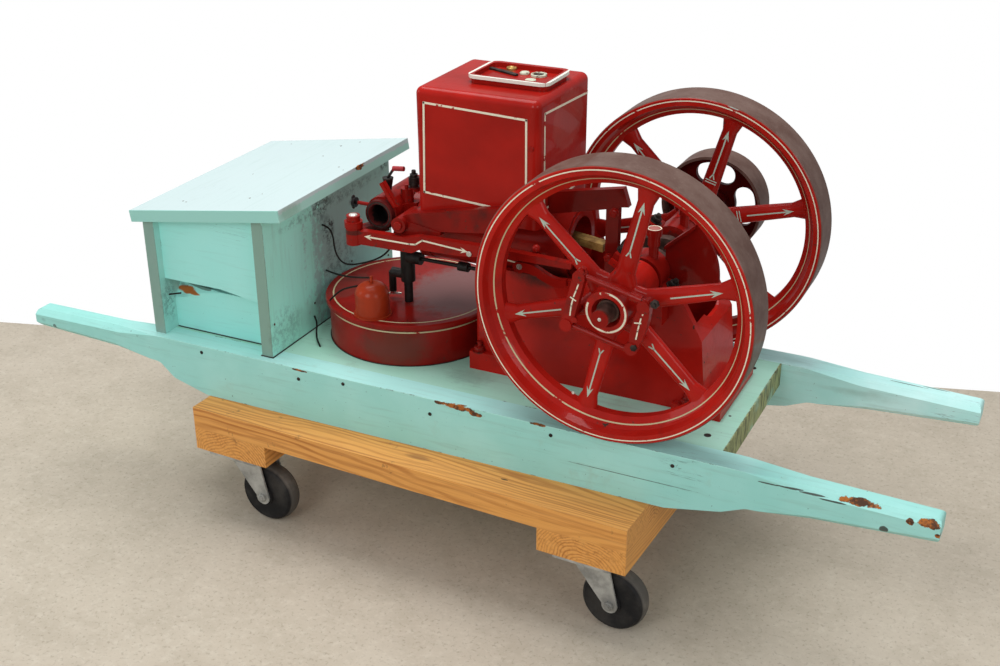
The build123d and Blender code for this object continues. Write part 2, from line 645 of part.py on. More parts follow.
# fuel tank with a lipped lid, and the domed cap
with BuildPart() as tank:
    with BuildSketch(Plane(origin=(tank_x, tank_y, deck_z), x_dir=(1, 0, 0), z_dir=(0, -1, 0))):
        with BuildLine():
            Polyline((0, 0), (tank_r, 0), (tank_r, tank_h - 8), (tank_r + lid_lip, tank_h - 8),
                     (tank_r + lid_lip, tank_h - 2), (tank_r + lid_lip - 2, tank_h), (0, tank_h),
                     close=True)
        make_face()
    revolve(axis=Axis((tank_x, tank_y, deck_z), (0, 0, 1)))
save(tank.part, "fuel_tank")
cap_x = tank_x - 12.0
cap_y = tank_y - 111.0
cap_z = deck_z + tank_h
with BuildPart() as cap:
    with BuildSketch(Plane(origin=(cap_x, cap_y, cap_z), x_dir=(1, 0, 0), z_dir=(0, -1, 0))):
        with BuildLine():
            Polyline((0, cap_h), (0, 0), (cap_r + 3, 0), (cap_r + 3, 2.5), (cap_r, 2.5),
                     (cap_r, cap_h - 15))
            ThreePointArc((cap_r, cap_h - 15), (cap_r * 0.74, cap_h - 4), (0, cap_h))
        make_face()
    revolve(axis=Axis((cap_x, cap_y, cap_z), (0, 0, 1)))
    with Locations((cap_x, cap_y, cap_z + cap_h - 2)):
        Cylinder(2.5, 14, align=(Align.CENTER, Align.CENTER, Align.MIN))
save(cap.part, "fuel_cap")

# mixer between the tank and the head, with its valve and the pipe to the base
mix_x = -411.0
mix_y = -28.0
mix_z = deck_z + tank_h - crank_z
pipe_y = mix_y - 6.0
pipe_z = mix_z + 80.0
upright = (Align.CENTER, Align.CENTER, Align.MIN)
with BuildPart() as mixer:
    for r, z, h in ((7, 0, 36), (11.5, 36, 54), (7, 90, 52)):
        with Locations(rel(mix_x, mix_y, mix_z + z)):
            Cylinder(r, h, align=upright)
    with Locations(Location(rel(mix_x - 5, mix_y, mix_z + 46), (0, -90, 0))):
        Cylinder(8, 24, align=upright)
    with Locations(rel(mix_x - 29, mix_y, mix_z + 13)):
        Cylinder(6, 34, align=upright)
    for r, x, x_end in ((10, mix_x + 5, mix_x + 29), (3, mix_x + 29, -316), (7.5, -316, -299),
                        (3, -299, base_x0)):
        with Locations(Location(rel(x, pipe_y, pipe_z), (0, 90, 0))):
            Cylinder(r, x_end - x, align=upright)
save(mixer.part.solids().sort_by(SortBy.VOLUME)[-1], "mixer")

# bar from the hopper to a post on the base wall
bar_y = -58.0
with BuildPart() as bar:
    with BuildSketch(side_plane(bar_y)):
        Polygon((-175, 92), (-40, 119), (-31, 92), (-46, 90), (-46, -base_drop), (-65, -base_drop),
                (-65, 84), (-175, 58), align=None)
    extrude(amount=-12)
    for neighbour in (hopper, base, cap_near):
        add(neighbour.part, mode=Mode.SUBTRACT)
save(bar.part, "stay_bar")

# guard plate beside the crank, with a narrow turned edge along its top
guard_r = 104.0
guard_t = 6.0
guard_lip = 9.0
guard_y = base_wall - base_hw
guard_x0 = 24.0
guard_z0 = 42.0
guard_foot = -base_drop - 25
with BuildPart() as guard:
    with BuildSketch(side_plane(guard_y)):
        with BuildLine():
            rim_arc = CenterArc((0, 0), guard_r, -5, 55)
            Polyline(rim_arc @ 1, (guard_x0, guard_z0), (guard_x0, guard_foot),
                     (base_x1 - 43, guard_foot), (base_x1 - 43, -base_drop), rim_arc @ 0)
        make_face()
    extrude(amount=-guard_t)
    with BuildSketch(side_plane(guard_y)):
        top = rim_arc @ 1
        Polygon((guard_x0, guard_z0), (top.X, top.Y), (top.X, top.Y - 5), (guard_x0, guard_z0 - 5),
                align=None)
    extrude(amount=guard_lip)
    add(base.part, mode=Mode.SUBTRACT)
    add(cap_near.part, mode=Mode.SUBTRACT)
save(guard.part.solids().sort_by(SortBy.VOLUME)[-1], "crank_guard")

# speed lever on a post from the cylinder's side
lever_y = -118.0
with BuildPart() as lever:
    with Locations(Location(rel(-175, lever_y, -3), (-90, 0, 0))):
        Cylinder(9, 9, align=(Align.CENTER, Align.CENTER, Align.MIN))
        Cylinder(6, 66, align=(Align.CENTER, Align.CENTER, Align.MIN))
    with BuildSketch(side_plane(lever_y)):
        with BuildLine():
            Spline((-172, 5), (-150, 4), (-130, -5), (-100, -9))
            Line((-100, -9), (-100, -20))
            Spline((-100, -20), (-132, -19), (-152, -11), (-172, -10))
            Line((-172, -10), (-172, 5))
        make_face()
    extrude(amount=-8)
    with Locations(Location(rel(cyl_x0, 0, 0), (0, 90, 0))):
        Cylinder(cyl_r, cyl_l, align=(Align.CENTER, Align.CENTER, Align.MIN), mode=Mode.SUBTRACT)
save(lever.part, "speed_lever")

# ignition wires from the battery box
wire_clear = wire_d / 2 + cord_gap
wire([(box_x1 + cord_gap, -24, 465), (-265.5, -24.5, 463.5), (-257.5, -25.5, 449), (-256, -27, 431),
      (-250, -29, 416), (-236, -33, 407.5), (-217, -37, 409.7), (-186, -44, 422), (-155, -50.4, 437.8), (-135, -54, 456),
      (-123, -57, 478), (-120, -58, crank_z + 4.7)], "wire_head")
wire([(box_x1 + 3 * cord_gap, -21, 383.3), (-262, -31, 386), (-240, -44.5, 391.5), (-218, -58, 398),
      (-200, -69, 404), (-181, -80, 411), (-163, -91, 418), (cap_x - 2.8, cap_y + 2, cap_z + cap_h + 8)], "wire_cap")
wire([(-225.4, -95.1, cap_z + wire_clear), (-213.5, -97, 381.5), (-199, -99.5, 394), (-182, -102.3, 402.5),
      (cap_x - cap_r + 0.5, cap_y + 0.5, 409)], "wire_loose")
wire([(box_x1 + 4 * cord_gap, -65, 317.5), (-266, -76, 314), (-258, -92, 305), (-247, -108, 298.5),
      (-232, -122, deck_z + wire_clear)], "wire_stub")
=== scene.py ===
import math
import random

import bmesh
import bpy
from bpy.props import FloatProperty, FloatVectorProperty, PointerProperty
from mathutils import Matrix, Vector


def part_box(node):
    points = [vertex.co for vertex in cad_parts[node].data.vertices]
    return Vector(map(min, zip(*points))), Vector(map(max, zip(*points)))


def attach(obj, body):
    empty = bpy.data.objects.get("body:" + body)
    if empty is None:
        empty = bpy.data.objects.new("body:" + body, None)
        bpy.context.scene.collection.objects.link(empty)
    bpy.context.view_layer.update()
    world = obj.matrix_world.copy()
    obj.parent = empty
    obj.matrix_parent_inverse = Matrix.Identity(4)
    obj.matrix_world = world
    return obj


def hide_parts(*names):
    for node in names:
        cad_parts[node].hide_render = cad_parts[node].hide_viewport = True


bl_info = {
    "name": "Hopper engine",
    "version": (1, 0, 0),
    "blender": (4, 5, 0),
    "location": "View3D > Sidebar > Engine",
    "description": "Paint, pinstripes, wires and small fittings for a hopper-cooled engine",
    "category": "Object",
}

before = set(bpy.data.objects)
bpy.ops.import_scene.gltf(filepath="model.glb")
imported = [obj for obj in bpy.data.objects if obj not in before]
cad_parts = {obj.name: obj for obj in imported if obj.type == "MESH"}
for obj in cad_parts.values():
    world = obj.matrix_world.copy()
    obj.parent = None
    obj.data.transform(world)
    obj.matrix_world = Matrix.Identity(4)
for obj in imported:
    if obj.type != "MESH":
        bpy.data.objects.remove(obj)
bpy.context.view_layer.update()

MM = 0.001
CRANK = Vector((0.300, -0.011, 0.504))
NEAR_TURN = 16.5
FAR_TURN = 14.5
WIRE_D = 0.003
TURN = math.radians(-2.5)
AHEAD = Vector((math.cos(TURN), math.sin(TURN), 0))
ASIDE = Vector((-math.sin(TURN), math.cos(TURN), 0))
# A soot colour, used both for oil soot and for painted shade.
SOOT_AND_SHADE = (0.022, 0.012, 0.010, 1)
DARK_IRON = (0.045, 0.026, 0.020, 1)


def at(x, y, z):
    return Vector((x, y, z)) * MM


def caster_pins():
    """Where the swivels stand, in the order of the nodes' numbers."""
    return [at(-10, -12.9, 0) + AHEAD * sx * 313 * MM + ASIDE * sy * 199 * MM
            for sx, sy in ((-1, -1), (1, -1), (-1, 1), (1, 1))]


def polar(r, angle, y):
    """A point at radius r (mm) and an angle round the crank axis, at height y (mm) along it."""
    a = math.radians(angle)
    return Vector((CRANK.x + r * MM * math.cos(a), y * MM, CRANK.z + r * MM * math.sin(a)))


def shade(colour, factor):
    return tuple(min(1, c * factor) for c in colour[:3]) + (1,)


# ---- finishes ----


class Signal:
    """A node's output whose arithmetic adds Math nodes behind it."""

    def __init__(self, finish, socket):
        self.finish = finish
        self.socket = socket

    def math(self, operation, *values):
        return self.finish.node("ShaderNodeMath", {"operation": operation}, dict(enumerate(values)))

    def __add__(self, other):
        return self.math("ADD", self, other)

    def __radd__(self, other):
        return self.math("ADD", other, self)

    def __sub__(self, other):
        return self.math("SUBTRACT", self, other)

    def __rsub__(self, other):
        return self.math("SUBTRACT", other, self)

    def __mul__(self, other):
        return self.math("MULTIPLY", self, other)

    def __rmul__(self, other):
        return self.math("MULTIPLY", other, self)

    def __truediv__(self, other):
        return self.math("DIVIDE", self, other)

    def __abs__(self):
        return self.math("ABSOLUTE", self)

    def larger(self, other):
        return self.math("MAXIMUM", self, other)

    def clamp(self):
        return self.finish.node("ShaderNodeClamp", {}, {"Value": self})

    def step(self, low, high):
        """0 below low, 1 above high, smooth between."""
        settings = {"interpolation_type": "SMOOTHSTEP", "clamp": True}
        return self.finish.node("ShaderNodeMapRange", settings,
                                {"Value": self, "From Min": low, "From Max": high})

    def within(self, low, high, soft):
        """1 between low and high, falling off over the distance soft."""
        return self.step(low - soft, low + soft) * (1 - self.step(high - soft, high + soft))


class Finish:
    """One material and the nodes of its pattern."""

    def __init__(self, name):
        self.material = bpy.data.materials.new(name)
        self.material.use_nodes = True
        self.tree = self.material.node_tree
        self.shader = self.tree.nodes["Principled BSDF"]
        self.place = self.node("ShaderNodeTexCoord", {}, {}, "Object")

    def node(self, kind, settings, values, output=0):
        made = self.tree.nodes.new(kind)
        for key, value in settings.items():
            setattr(made, key, value)
        for key, value in values.items():
            socket = made.inputs[key]
            if isinstance(value, Signal):
                self.tree.links.new(value.socket, socket)
            else:
                socket.default_value = value
        return Signal(self, made.outputs[output])

    def stretched(self, along, scale, long_scale):
        """Object coordinates for a pattern drawn out along one axis."""
        scales = [scale] * 3
        scales[along] = long_scale
        return self.node("ShaderNodeMapping", {}, {"Vector": self.place, "Scale": tuple(scales)})

    def noise(self, scale, detail=3.0, rough=0.55, where=None, bend=0.0):
        return self.node("ShaderNodeTexNoise", {}, {
            "Vector": where or self.place, "Scale": scale, "Detail": detail, "Roughness": rough,
            "Distortion": bend})

    def blend(self, amount, one, two):
        return self.node("ShaderNodeMix", {"data_type": "RGBA"}, {0: amount, 6: one, 7: two}, 2)

    def axes(self):
        return [self.node("ShaderNodeSeparateXYZ", {}, {"Vector": self.place}, i) for i in range(3)]

    def spot(self, centre, radii, ragged, inside=0.72):
        """1 inside an ellipsoid (in mm) with a ragged edge, 0 outside."""
        total = 0.0
        for axis, mid, half in zip(self.axes(), centre, radii):
            away = (axis - mid * MM) / (half * MM)
            total = away * away + total
        return 1 - (total + ragged).step(inside, 1.0)

    def marked(self, colour, marks, ragged):
        """Lays patches over a colour: centre, radii, depth, colour and how far in each one is full."""
        for centre, radii, depth, tone, *inside in marks:
            colour = self.blend(self.spot(centre, radii, ragged, *inside) * depth, colour, tone)
        return colour

    def bump(self, height, strength, distance):
        values = {"Height": height, "Strength": strength, "Distance": distance}
        return self.node("ShaderNodeBump", {}, values)

    def set(self, **values):
        names = {"colour": "Base Color", "rough": "Roughness", "metal": "Metallic", "normal": "Normal",
                 "coat": "Coat Weight", "specular": "Specular IOR Level", "coat_rough": "Coat Roughness"}
        for key, value in values.items():
            socket = self.shader.inputs[names[key]]
            if isinstance(value, Signal):
                self.tree.links.new(value.socket, socket)
            else:
                socket.default_value = value
        return self.material


def enamel(name, colour, grime=0.5, chips=0.66, marks=(), lip=False):
    """Brushed gloss enamel on rough castings, with blotches of oil and chips to dark iron."""
    f = Finish(name)
    fine = f.noise(160, 3)
    ragged = (f.noise(70, 5, 0.7) - 0.5) * 1.1
    soot = f.noise(20, 6, 0.62, bend=0.4).step(0.50, 0.80) * grime
    paint = f.blend(f.noise(9, 4).step(0.3, 0.7), shade(colour, 0.78), shade(colour, 1.12))
    paint = f.blend(soot, paint, SOOT_AND_SHADE)
    chip = f.noise(75, 5, 0.7).step(chips, chips + 0.035)
    paint = f.blend(chip, paint, DARK_IRON)
    paint = f.marked(paint, marks, ragged)
    if lip:
        x, y, z = f.axes()
        outer = (abs(x - 0.0695) - 0.0605).larger(-0.0495 - y).step(0.0, 0.0006)
        paint = f.blend(outer * z.step(0.7490, 0.7494), paint, (0.74, 0.76, 0.68, 1))
    rough = (fine * 0.14 + 0.24) + soot * 0.3 + chip * 0.3
    lumps = f.noise(48, 2) * 0.7 + fine * 0.3 - chip * 0.25
    return f.set(colour=paint, rough=rough.clamp(), normal=f.bump(lumps, 0.32, 0.0012), coat=0.22,
                 coat_rough=0.05, specular=0.06)


def timber_edges(f, node, width):
    """Near 1 along the edges of a node's box, 0 on its faces."""
    low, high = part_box(node)
    near = []
    for axis, a, b in zip(f.axes(), low, high):
        away = (b - a) / 2 - abs(axis - (a + b) / 2)
        near.append((1 - away / width).clamp())
    x, y, z = near
    return (x * y).larger(y * z).larger(x * z)


MINT = (0.315, 0.665, 0.610, 1)
PALE = (0.60, 0.775, 0.755, 1)
RAW = (0.50, 0.16, 0.030, 1)
MILDEW = (0.030, 0.036, 0.032, 1)
GREEN_GREY = (0.22, 0.36, 0.29, 1)


def painted_timber(name, node, along, body=MINT, light=PALE, fade=0.5, wear=0.5, chips=(), marks=(), mould=(), raw_end=False,
                   top=0.0):
    """Brushed mint paint over softwood: a painted highlight on its top faces, cracked along the grain and nicked at its
    edges.
    """
    f = Finish(name)
    grain = f.noise(1.0, 5, 0.62, f.stretched(along, 46.0, 2.6), 0.35)
    brush = f.noise(3.2, 3, 0.6, f.stretched(along, 40.0, 3.0))
    cloud = f.noise(5.5, 5, 0.6)
    fleck = f.noise(190, 4, 0.65)
    ragged = (f.noise(85, 5, 0.7) - 0.5) * 1.4 + (grain - 0.5) * 1.1
    paint = f.blend(cloud.step(0.30, 0.70) * fade, body, light)
    # Painted highlight: faces at the board's top height are blended towards the light colour.
    if top:
        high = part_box(node)[1][2]
        paint = f.blend(f.axes()[2].step(high - 0.0016, high - 0.0004) * (cloud.step(0.2, 0.6) * 0.5 + 0.5) * top,
                        paint, light)
    paint = f.blend(brush.step(0.5, 0.78) * (0.08 + 0.25 * wear), paint, GREEN_GREY)
    worn = f.noise(12, 5, 0.66).step(0.60, 0.76) * wear * 0.5
    paint = f.blend(worn, paint, (0.30, 0.42, 0.33, 1))
    paint = f.blend(fleck.step(0.69, 0.72) * wear, paint, (0.06, 0.07, 0.055, 1))
    crack_line = 1 - abs(grain - 0.52).step(0.0, 0.007)
    crack = crack_line * f.noise(4.3, 2).step(0.58, 0.64) * wear
    paint = f.blend(crack * 0.8, paint, (0.05, 0.05, 0.04, 1))
    edge = timber_edges(f, node, 0.006)
    nick = (edge + (f.noise(42, 6, 0.72) - 0.5) * 2.4 - 1.12).step(0.0, 0.18)
    paint = f.blend(nick * 0.75 * (wear + 0.2), paint, (0.075, 0.080, 0.062, 1))
    paint = f.marked(paint, marks, ragged * 0.9)
    for centre, radii, depth in mould:
        speckle = f.noise(75, 6, 0.8).step(0.44, 0.60)
        paint = f.blend(f.spot(centre, radii, 0.0, 0.0) * speckle * depth, paint, MILDEW)
    bare = 0.0
    height = grain * 0.35 + brush * 0.25 - crack * 0.9 - nick * 0.5 + fleck * 0.1
    if chips:
        bare = f.spot(*chips[0], ragged * 2.4)
        for centre, radii in chips[1:]:
            bare = bare.larger(f.spot(centre, radii, ragged * 2.4))
        wood = f.blend(f.noise(60, 4, 0.7).step(0.42, 0.58), shade(RAW, 0.8), (0.075, 0.035, 0.020, 1))
        paint = f.blend((bare * 3.0).clamp() * 0.6, paint, (0.05, 0.045, 0.03, 1))
        paint = f.blend(bare.step(0.35, 0.6), paint, wood)
        height = height - bare * 0.8
    if raw_end:
        x = f.axes()[0]
        streak = f.noise(3.0, 4, 0.7, f.stretched(2, 40.0, 7.0))
        wood = f.blend(streak.step(0.42, 0.62), (0.33, 0.37, 0.17, 1), (0.09, 0.10, 0.045, 1))
        wood = f.blend(f.noise(9, 4).step(0.56, 0.66) * 0.8, wood, (0.30, 0.52, 0.40, 1))
        paint = f.blend((x + ragged * 0.002).step(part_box(node)[1][0] - 0.003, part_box(node)[1][0] - 0.0015), paint, wood)
    rough = (0.46 + fleck * 0.2 + bare * 0.25).clamp()
    return f.set(colour=paint, rough=rough, normal=f.bump(height, 0.35, 0.0014), specular=0.25)


DOLLY_MARKS = [((4, -228, 206), (26, 9, 5), 0.5, (0.16, 0.055, 0.02, 1), 0.0),
               ((150, -230, 206), (6, 2, 3), 0.9, (0.05, 0.025, 0.015, 1))]


def varnished_timber(name, node, along, turn):
    """Orange varnished softwood: growth rings round a heart below the board, so arcs on its ends."""
    f = Finish(name)
    plain = f.place
    f.place = f.node("ShaderNodeMapping", {}, {"Vector": plain, "Rotation": (0, 0, turn)})
    low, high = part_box(node)
    middle = Matrix.Rotation(turn, 3, "Z") @ Vector([(a + b) / 2 for a, b in zip(low, high)])
    x, y, z = f.axes()
    wander = f.noise(1.0, 3, 0.5, f.stretched(along, 9.0, 1.6))
    aside = (y - middle.y if along == 0 else x - middle.x) - 0.012
    below = z - (middle.z - 0.045)
    reach = (aside * aside + below * below).math("SQRT", aside * aside + below * below) + (wander - 0.5) * 0.06
    rings = (reach * 1250).math("SINE", reach * 1250)
    fibre = f.noise(10, 4, 0.7, f.stretched(along, 15.0, 0.9))
    depth = f.noise(1.0, 3, 0.6, f.stretched(along, 30.0, 2.0)).step(0.30, 0.70) * 0.50 + 0.30
    colour = f.blend(rings.step(-0.2, 1.0) * depth, (0.72, 0.335, 0.080, 1), (0.40, 0.125, 0.020, 1))
    colour = f.blend(fibre.step(0.4, 0.75) * 0.4, colour, (0.72, 0.37, 0.11, 1))
    streak = f.noise(1.0, 5, 0.7, f.stretched(along, 190.0, 5.0))
    colour = f.blend(streak.step(0.46, 0.70) * 0.5, colour, (0.33, 0.105, 0.020, 1))
    scuff = f.noise(30, 6, 0.7).step(0.62, 0.69)
    colour = f.blend(scuff * 0.5, colour, (0.10, 0.05, 0.025, 1))
    f.place = plain
    colour = f.marked(colour, DOLLY_MARKS, (fibre - 0.5) * 1.6)
    height = rings * 0.12 + fibre * 0.3 - streak * 0.3
    return f.set(colour=colour, rough=(0.36 + fibre * 0.2).clamp(), normal=f.bump(height, 0.25, 0.0012), coat=0.10,
                 specular=0.3)


def bare_metal(name, dark, light, metal, low, high, scale=60, marks=()):
    """Bare or plated metal with blotches and fine scratches."""
    f = Finish(name)
    blotch = f.noise(scale, 5, 0.62)
    fine = f.noise(scale * 6, 3, 0.6)
    colour = f.marked(f.blend(blotch.step(0.32, 0.68), dark, light), marks, (fine - 0.5) * 0.3)
    rough = (low + (high - low) * blotch + fine * 0.1).clamp()
    return f.set(colour=colour, rough=rough, metal=metal, normal=f.bump(blotch * 0.5 + fine * 0.5, 0.3, 0.0008),
                 specular=0.3)


def tread_and_paint(name, colour, tread_at, marks=()):
    """Enamel, with bare brown iron on the outside of a wheel's rim."""
    f = Finish(name)
    x, y, z = f.axes()
    dx = x - CRANK[0]
    dz = z - CRANK[2]
    radius = (dx * dx + dz * dz).math("SQRT", dx * dx + dz * dz)
    fine = f.noise(150, 3)
    soot = f.noise(20, 6, 0.65, bend=0.4).step(0.50, 0.82) * 0.45
    near_hub = 1 - radius.step(0.03, 0.07)
    soot = soot.larger(near_hub * f.noise(34, 5).step(0.48, 0.74) * 0.4)
    paint = f.blend(f.noise(8, 4).step(0.3, 0.7), shade(colour, 0.88), shade(colour, 1.30))
    paint = f.blend(soot, paint, SOOT_AND_SHADE)
    chip = f.noise(70, 5, 0.72).step(0.66, 0.69)
    paint = f.blend(chip, paint, DARK_IRON)
    paint = f.marked(paint, marks, (fine - 0.5) * 0.8)
    iron = f.blend(f.noise(26, 6, 0.6).step(0.3, 0.7), (0.110, 0.058, 0.045, 1), (0.160, 0.100, 0.082, 1))
    iron = f.blend(f.noise(190, 3).step(0.55, 0.8) * 0.3, iron, (0.22, 0.16, 0.13, 1))
    bare = (radius + (f.noise(40, 4) - 0.5) * 0.0012).step(tread_at - 0.0005, tread_at + 0.0005)
    colour_out = f.blend(bare, paint, iron)
    rough = 0.26 + fine * 0.14 + soot * 0.3 + bare * 0.30
    height = f.noise(48, 2) * 0.6 + fine * 0.4 - chip * 0.3
    return f.set(colour=colour_out, rough=rough.clamp(), normal=f.bump(height, 0.3, 0.0011), coat=0.22,
                 coat_rough=0.06, specular=0.06)


def stripe_paint(name, colour, under, wear=0.60):
    """Hand-laid line paint, rubbed through to what lies under it."""
    f = Finish(name)
    fine = f.noise(240, 4, 0.7)
    tone = f.blend(fine.step(0.35, 0.75) * 0.3, colour, shade(colour, 0.68))
    tone = f.blend(f.noise(38, 5, 0.7).step(wear, wear + 0.03), tone, under)
    return f.set(colour=tone, rough=(0.4 + fine * 0.2).clamp(), normal=f.bump(fine, 0.2, 0.0004), specular=0.25)


def rubber(name, centre, turn):
    """Black rubber, its running face rubbed light by the floor."""
    f = Finish(name)
    x, y, z = f.axes()
    ahead = (x - centre.x) * math.cos(turn) + (y - centre.y) * math.sin(turn)
    up = z - centre.z
    running = (ahead * ahead + up * up).math("SQRT", ahead * ahead + up * up).step(0.0470, 0.0492)
    speck = f.noise(130, 5, 0.7)
    dust = f.noise(18, 5).step(0.42, 0.7)
    colour = f.blend(dust * 0.2 + running * (0.5 + dust * 0.4), (0.010, 0.010, 0.011, 1), (0.17, 0.155, 0.135, 1))
    return f.set(colour=colour, rough=(0.5 + speck * 0.3).clamp(), normal=f.bump(speck, 0.3, 0.0008), specular=0.2)


# ---- shapes ----


def facing(direction):
    return Vector(direction).to_track_quat("Z", "Y").to_matrix().to_4x4()


def bar(bm, a, b, width, thick, normal):
    """A flat strip from a to b, its broad face towards normal."""
    run = b - a
    across = Vector(normal).cross(run).normalized()
    up = run.cross(across).normalized()
    turn = Matrix((run.normalized(), across, up)).transposed().to_4x4()
    sizes = Matrix.Diagonal((run.length, width, thick, 1))
    bmesh.ops.create_cube(bm, size=1.0, matrix=Matrix.Translation((a + b) / 2) @ turn @ sizes)


def line(bm, points, width, thick, normal, closed=False):
    """Strips along a row of points, lapped at the corners."""
    ends = points[1:] + points[:1] if closed else points[1:]
    for a, b in zip(points, ends):
        lap = (b - a).normalized() * width * 0.45
        bar(bm, a - lap, b + lap, width, thick, normal)


def rod(bm, a, b, r, segments=20):
    run = b - a
    bmesh.ops.create_cone(bm, cap_ends=True, segments=segments, radius1=r, radius2=r, depth=run.length,
                          matrix=Matrix.Translation((a + b) / 2) @ facing(run))


def soften(bm, verts, width, segments=2):
    edges = list({e for v in verts for e in v.link_edges})
    bmesh.ops.bevel(bm, geom=edges, offset=width, offset_type="OFFSET", affect="EDGES", segments=segments,
                    profile=0.5, material=-1, clamp_overlap=True)


def nut(bm, foot, direction, across, height, turn=0.0, washer=0.0):
    """A hexagon nut or bolt head with chamfered corners, on a washer where one is asked for."""
    place = Matrix.Translation(foot) @ facing(direction) @ Matrix.Rotation(turn, 4, "Z")
    if washer:
        bmesh.ops.create_cone(bm, cap_ends=True, segments=28, radius1=washer, radius2=washer, depth=1.6 * MM,
                              matrix=place @ Matrix.Translation((0, 0, 0.6 * MM)))
    radius = across / math.sqrt(3)
    made = bmesh.ops.create_cone(bm, cap_ends=True, segments=6, radius1=radius, radius2=radius, depth=height,
                                 matrix=place @ Matrix.Translation((0, 0, height / 2)))
    soften(bm, made["verts"], across * 0.06)


def disc(bm, foot, direction, r, height, taper=0.88, segments=28):
    """A round stud end or button with a chamfered rim."""
    place = Matrix.Translation(foot) @ facing(direction)
    for z0, z1, r0, r1 in ((0, 0.7, 1, 1), (0.7, 1, 1, taper)):
        bmesh.ops.create_cone(bm, cap_ends=True, segments=segments, radius1=r * r0, radius2=r * r1,
                              depth=height * (z1 - z0),
                              matrix=place @ Matrix.Translation((0, 0, height * (z0 + z1) / 2)))


def dome(bm, centre, direction, r, flat):
    """A round head: part of a ball, flattened along its axis."""
    place = Matrix.Translation(centre) @ facing(direction) @ Matrix.Diagonal((1, 1, flat, 1))
    bmesh.ops.create_uvsphere(bm, u_segments=20, v_segments=12, radius=r, matrix=place)


def band(bm, centre, points, axis=(0, 1, 0), steps=180, sweep=math.tau, start=0.0):
    """A closed profile of (radius, height) pairs spun about an upright or a Y axis through centre."""
    upright = Vector(axis).z > 0.5
    turn = Matrix.Rotation(start, 4, Vector(axis))
    verts = [bm.verts.new(centre + turn @ Vector((r, 0, h) if upright else (r, h, 0))) for r, h in points]
    face = bm.faces.new(verts)
    bmesh.ops.spin(bm, geom=[face] + face.edges[:] + verts, cent=centre, axis=axis, angle=sweep, steps=steps,
                   use_merge=sweep > 6.28, use_duplicate=False)


def flat_ring(bm, centre, r, width, thick, axis=(0, 1, 0), steps=120, sweep=math.tau, start=0.0):
    a, b, t = (r - width / 2) * MM, (r + width / 2) * MM, thick * MM / 2
    band(bm, centre, [(a, -t), (b, -t), (b, t), (a, t)], axis, steps, sweep, start)


def arrow_head(bm, tip, run, normal, long, wide, thick):
    """A filled, barbed arrow head."""
    side = Vector(normal).cross(run).normalized()
    back = tip - run * long
    rise = Vector(normal).normalized() * thick / 2
    corners = [tip, back + side * wide / 2, tip - run * long * 0.62, back - side * wide / 2]
    verts = [bm.verts.new(c - rise) for c in corners]
    face = bm.faces.new(verts)
    made = bmesh.ops.extrude_face_region(bm, geom=[face])
    moved = [v for v in made["geom"] if isinstance(v, bmesh.types.BMVert)]
    bmesh.ops.translate(bm, verts=moved, vec=rise * 2)


def finished(name, bm, body, material, smooth=35):
    """Turns a bmesh into a piece that rides on a body, at the origin and with its place in its mesh."""
    bmesh.ops.remove_doubles(bm, verts=bm.verts[:], dist=1e-6)
    bmesh.ops.recalc_face_normals(bm, faces=bm.faces[:])
    mesh = bpy.data.meshes.new(name)
    bm.to_mesh(mesh)
    bm.free()
    mesh.materials.append(material)
    piece = bpy.data.objects.new(name, mesh)
    bpy.context.scene.collection.objects.link(piece)
    mesh.shade_smooth()
    mesh.set_sharp_from_angle(angle=math.radians(smooth))
    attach(piece, body)
    return piece


def paint_node(node, material):
    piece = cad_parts[node]
    piece.data.materials.clear()
    piece.data.materials.append(material)


# ---- sizes and colours that a user would change ----


class EngineColours(bpy.types.PropertyGroup):
    enamel: FloatVectorProperty(name="Enamel", description="Colour of the castings and wheels",
                                subtype="COLOR", size=4, min=0, max=1, default=(0.355, 0.0100, 0.0060, 1))
    stripe: FloatVectorProperty(name="Pinstripe", description="Colour of the painted lines",
                                subtype="COLOR", size=4, min=0, max=1, default=(0.78, 0.74, 0.58, 1))
    cap: FloatVectorProperty(name="Fuel cap", description="Colour of the domed fuel cap",
                             subtype="COLOR", size=4, min=0, max=1, default=(0.33, 0.034, 0.010, 1))


class EngineSizes(bpy.types.PropertyGroup):
    stripe: FloatProperty(name="Pinstripe width", description="Width of the painted lines", unit="LENGTH",
                          default=3.0 * MM, min=0.5 * MM, max=8 * MM)
    fade: FloatProperty(name="Bleaching", description="How much of the mint paint has faded",
                        subtype="FACTOR", default=0.5, min=0, max=1)


class Step:
    """What the operators share."""

    bl_options = {"REGISTER"}

    def finish_with(self, words):
        self.report({"INFO"}, words)
        return {"FINISHED"}


class ENGINE_OT_camera(Step, bpy.types.Operator):
    """Place the camera at the photograph's viewpoint"""

    bl_idname = "engine.camera"
    bl_label = "Camera"

    def execute(self, context):
        data = bpy.data.cameras.new("camera")
        data.sensor_width = 36
        data.lens = 49.279
        data.clip_start = 0.05
        camera = bpy.data.objects.new("camera", data)
        camera.location = (0.8995, -1.7838, 1.2727)
        camera.rotation_euler = [math.radians(a) for a in (64.3791, 0.2813, 25.7904)]
        context.scene.collection.objects.link(camera)
        context.scene.camera = camera
        return self.finish_with("camera placed")


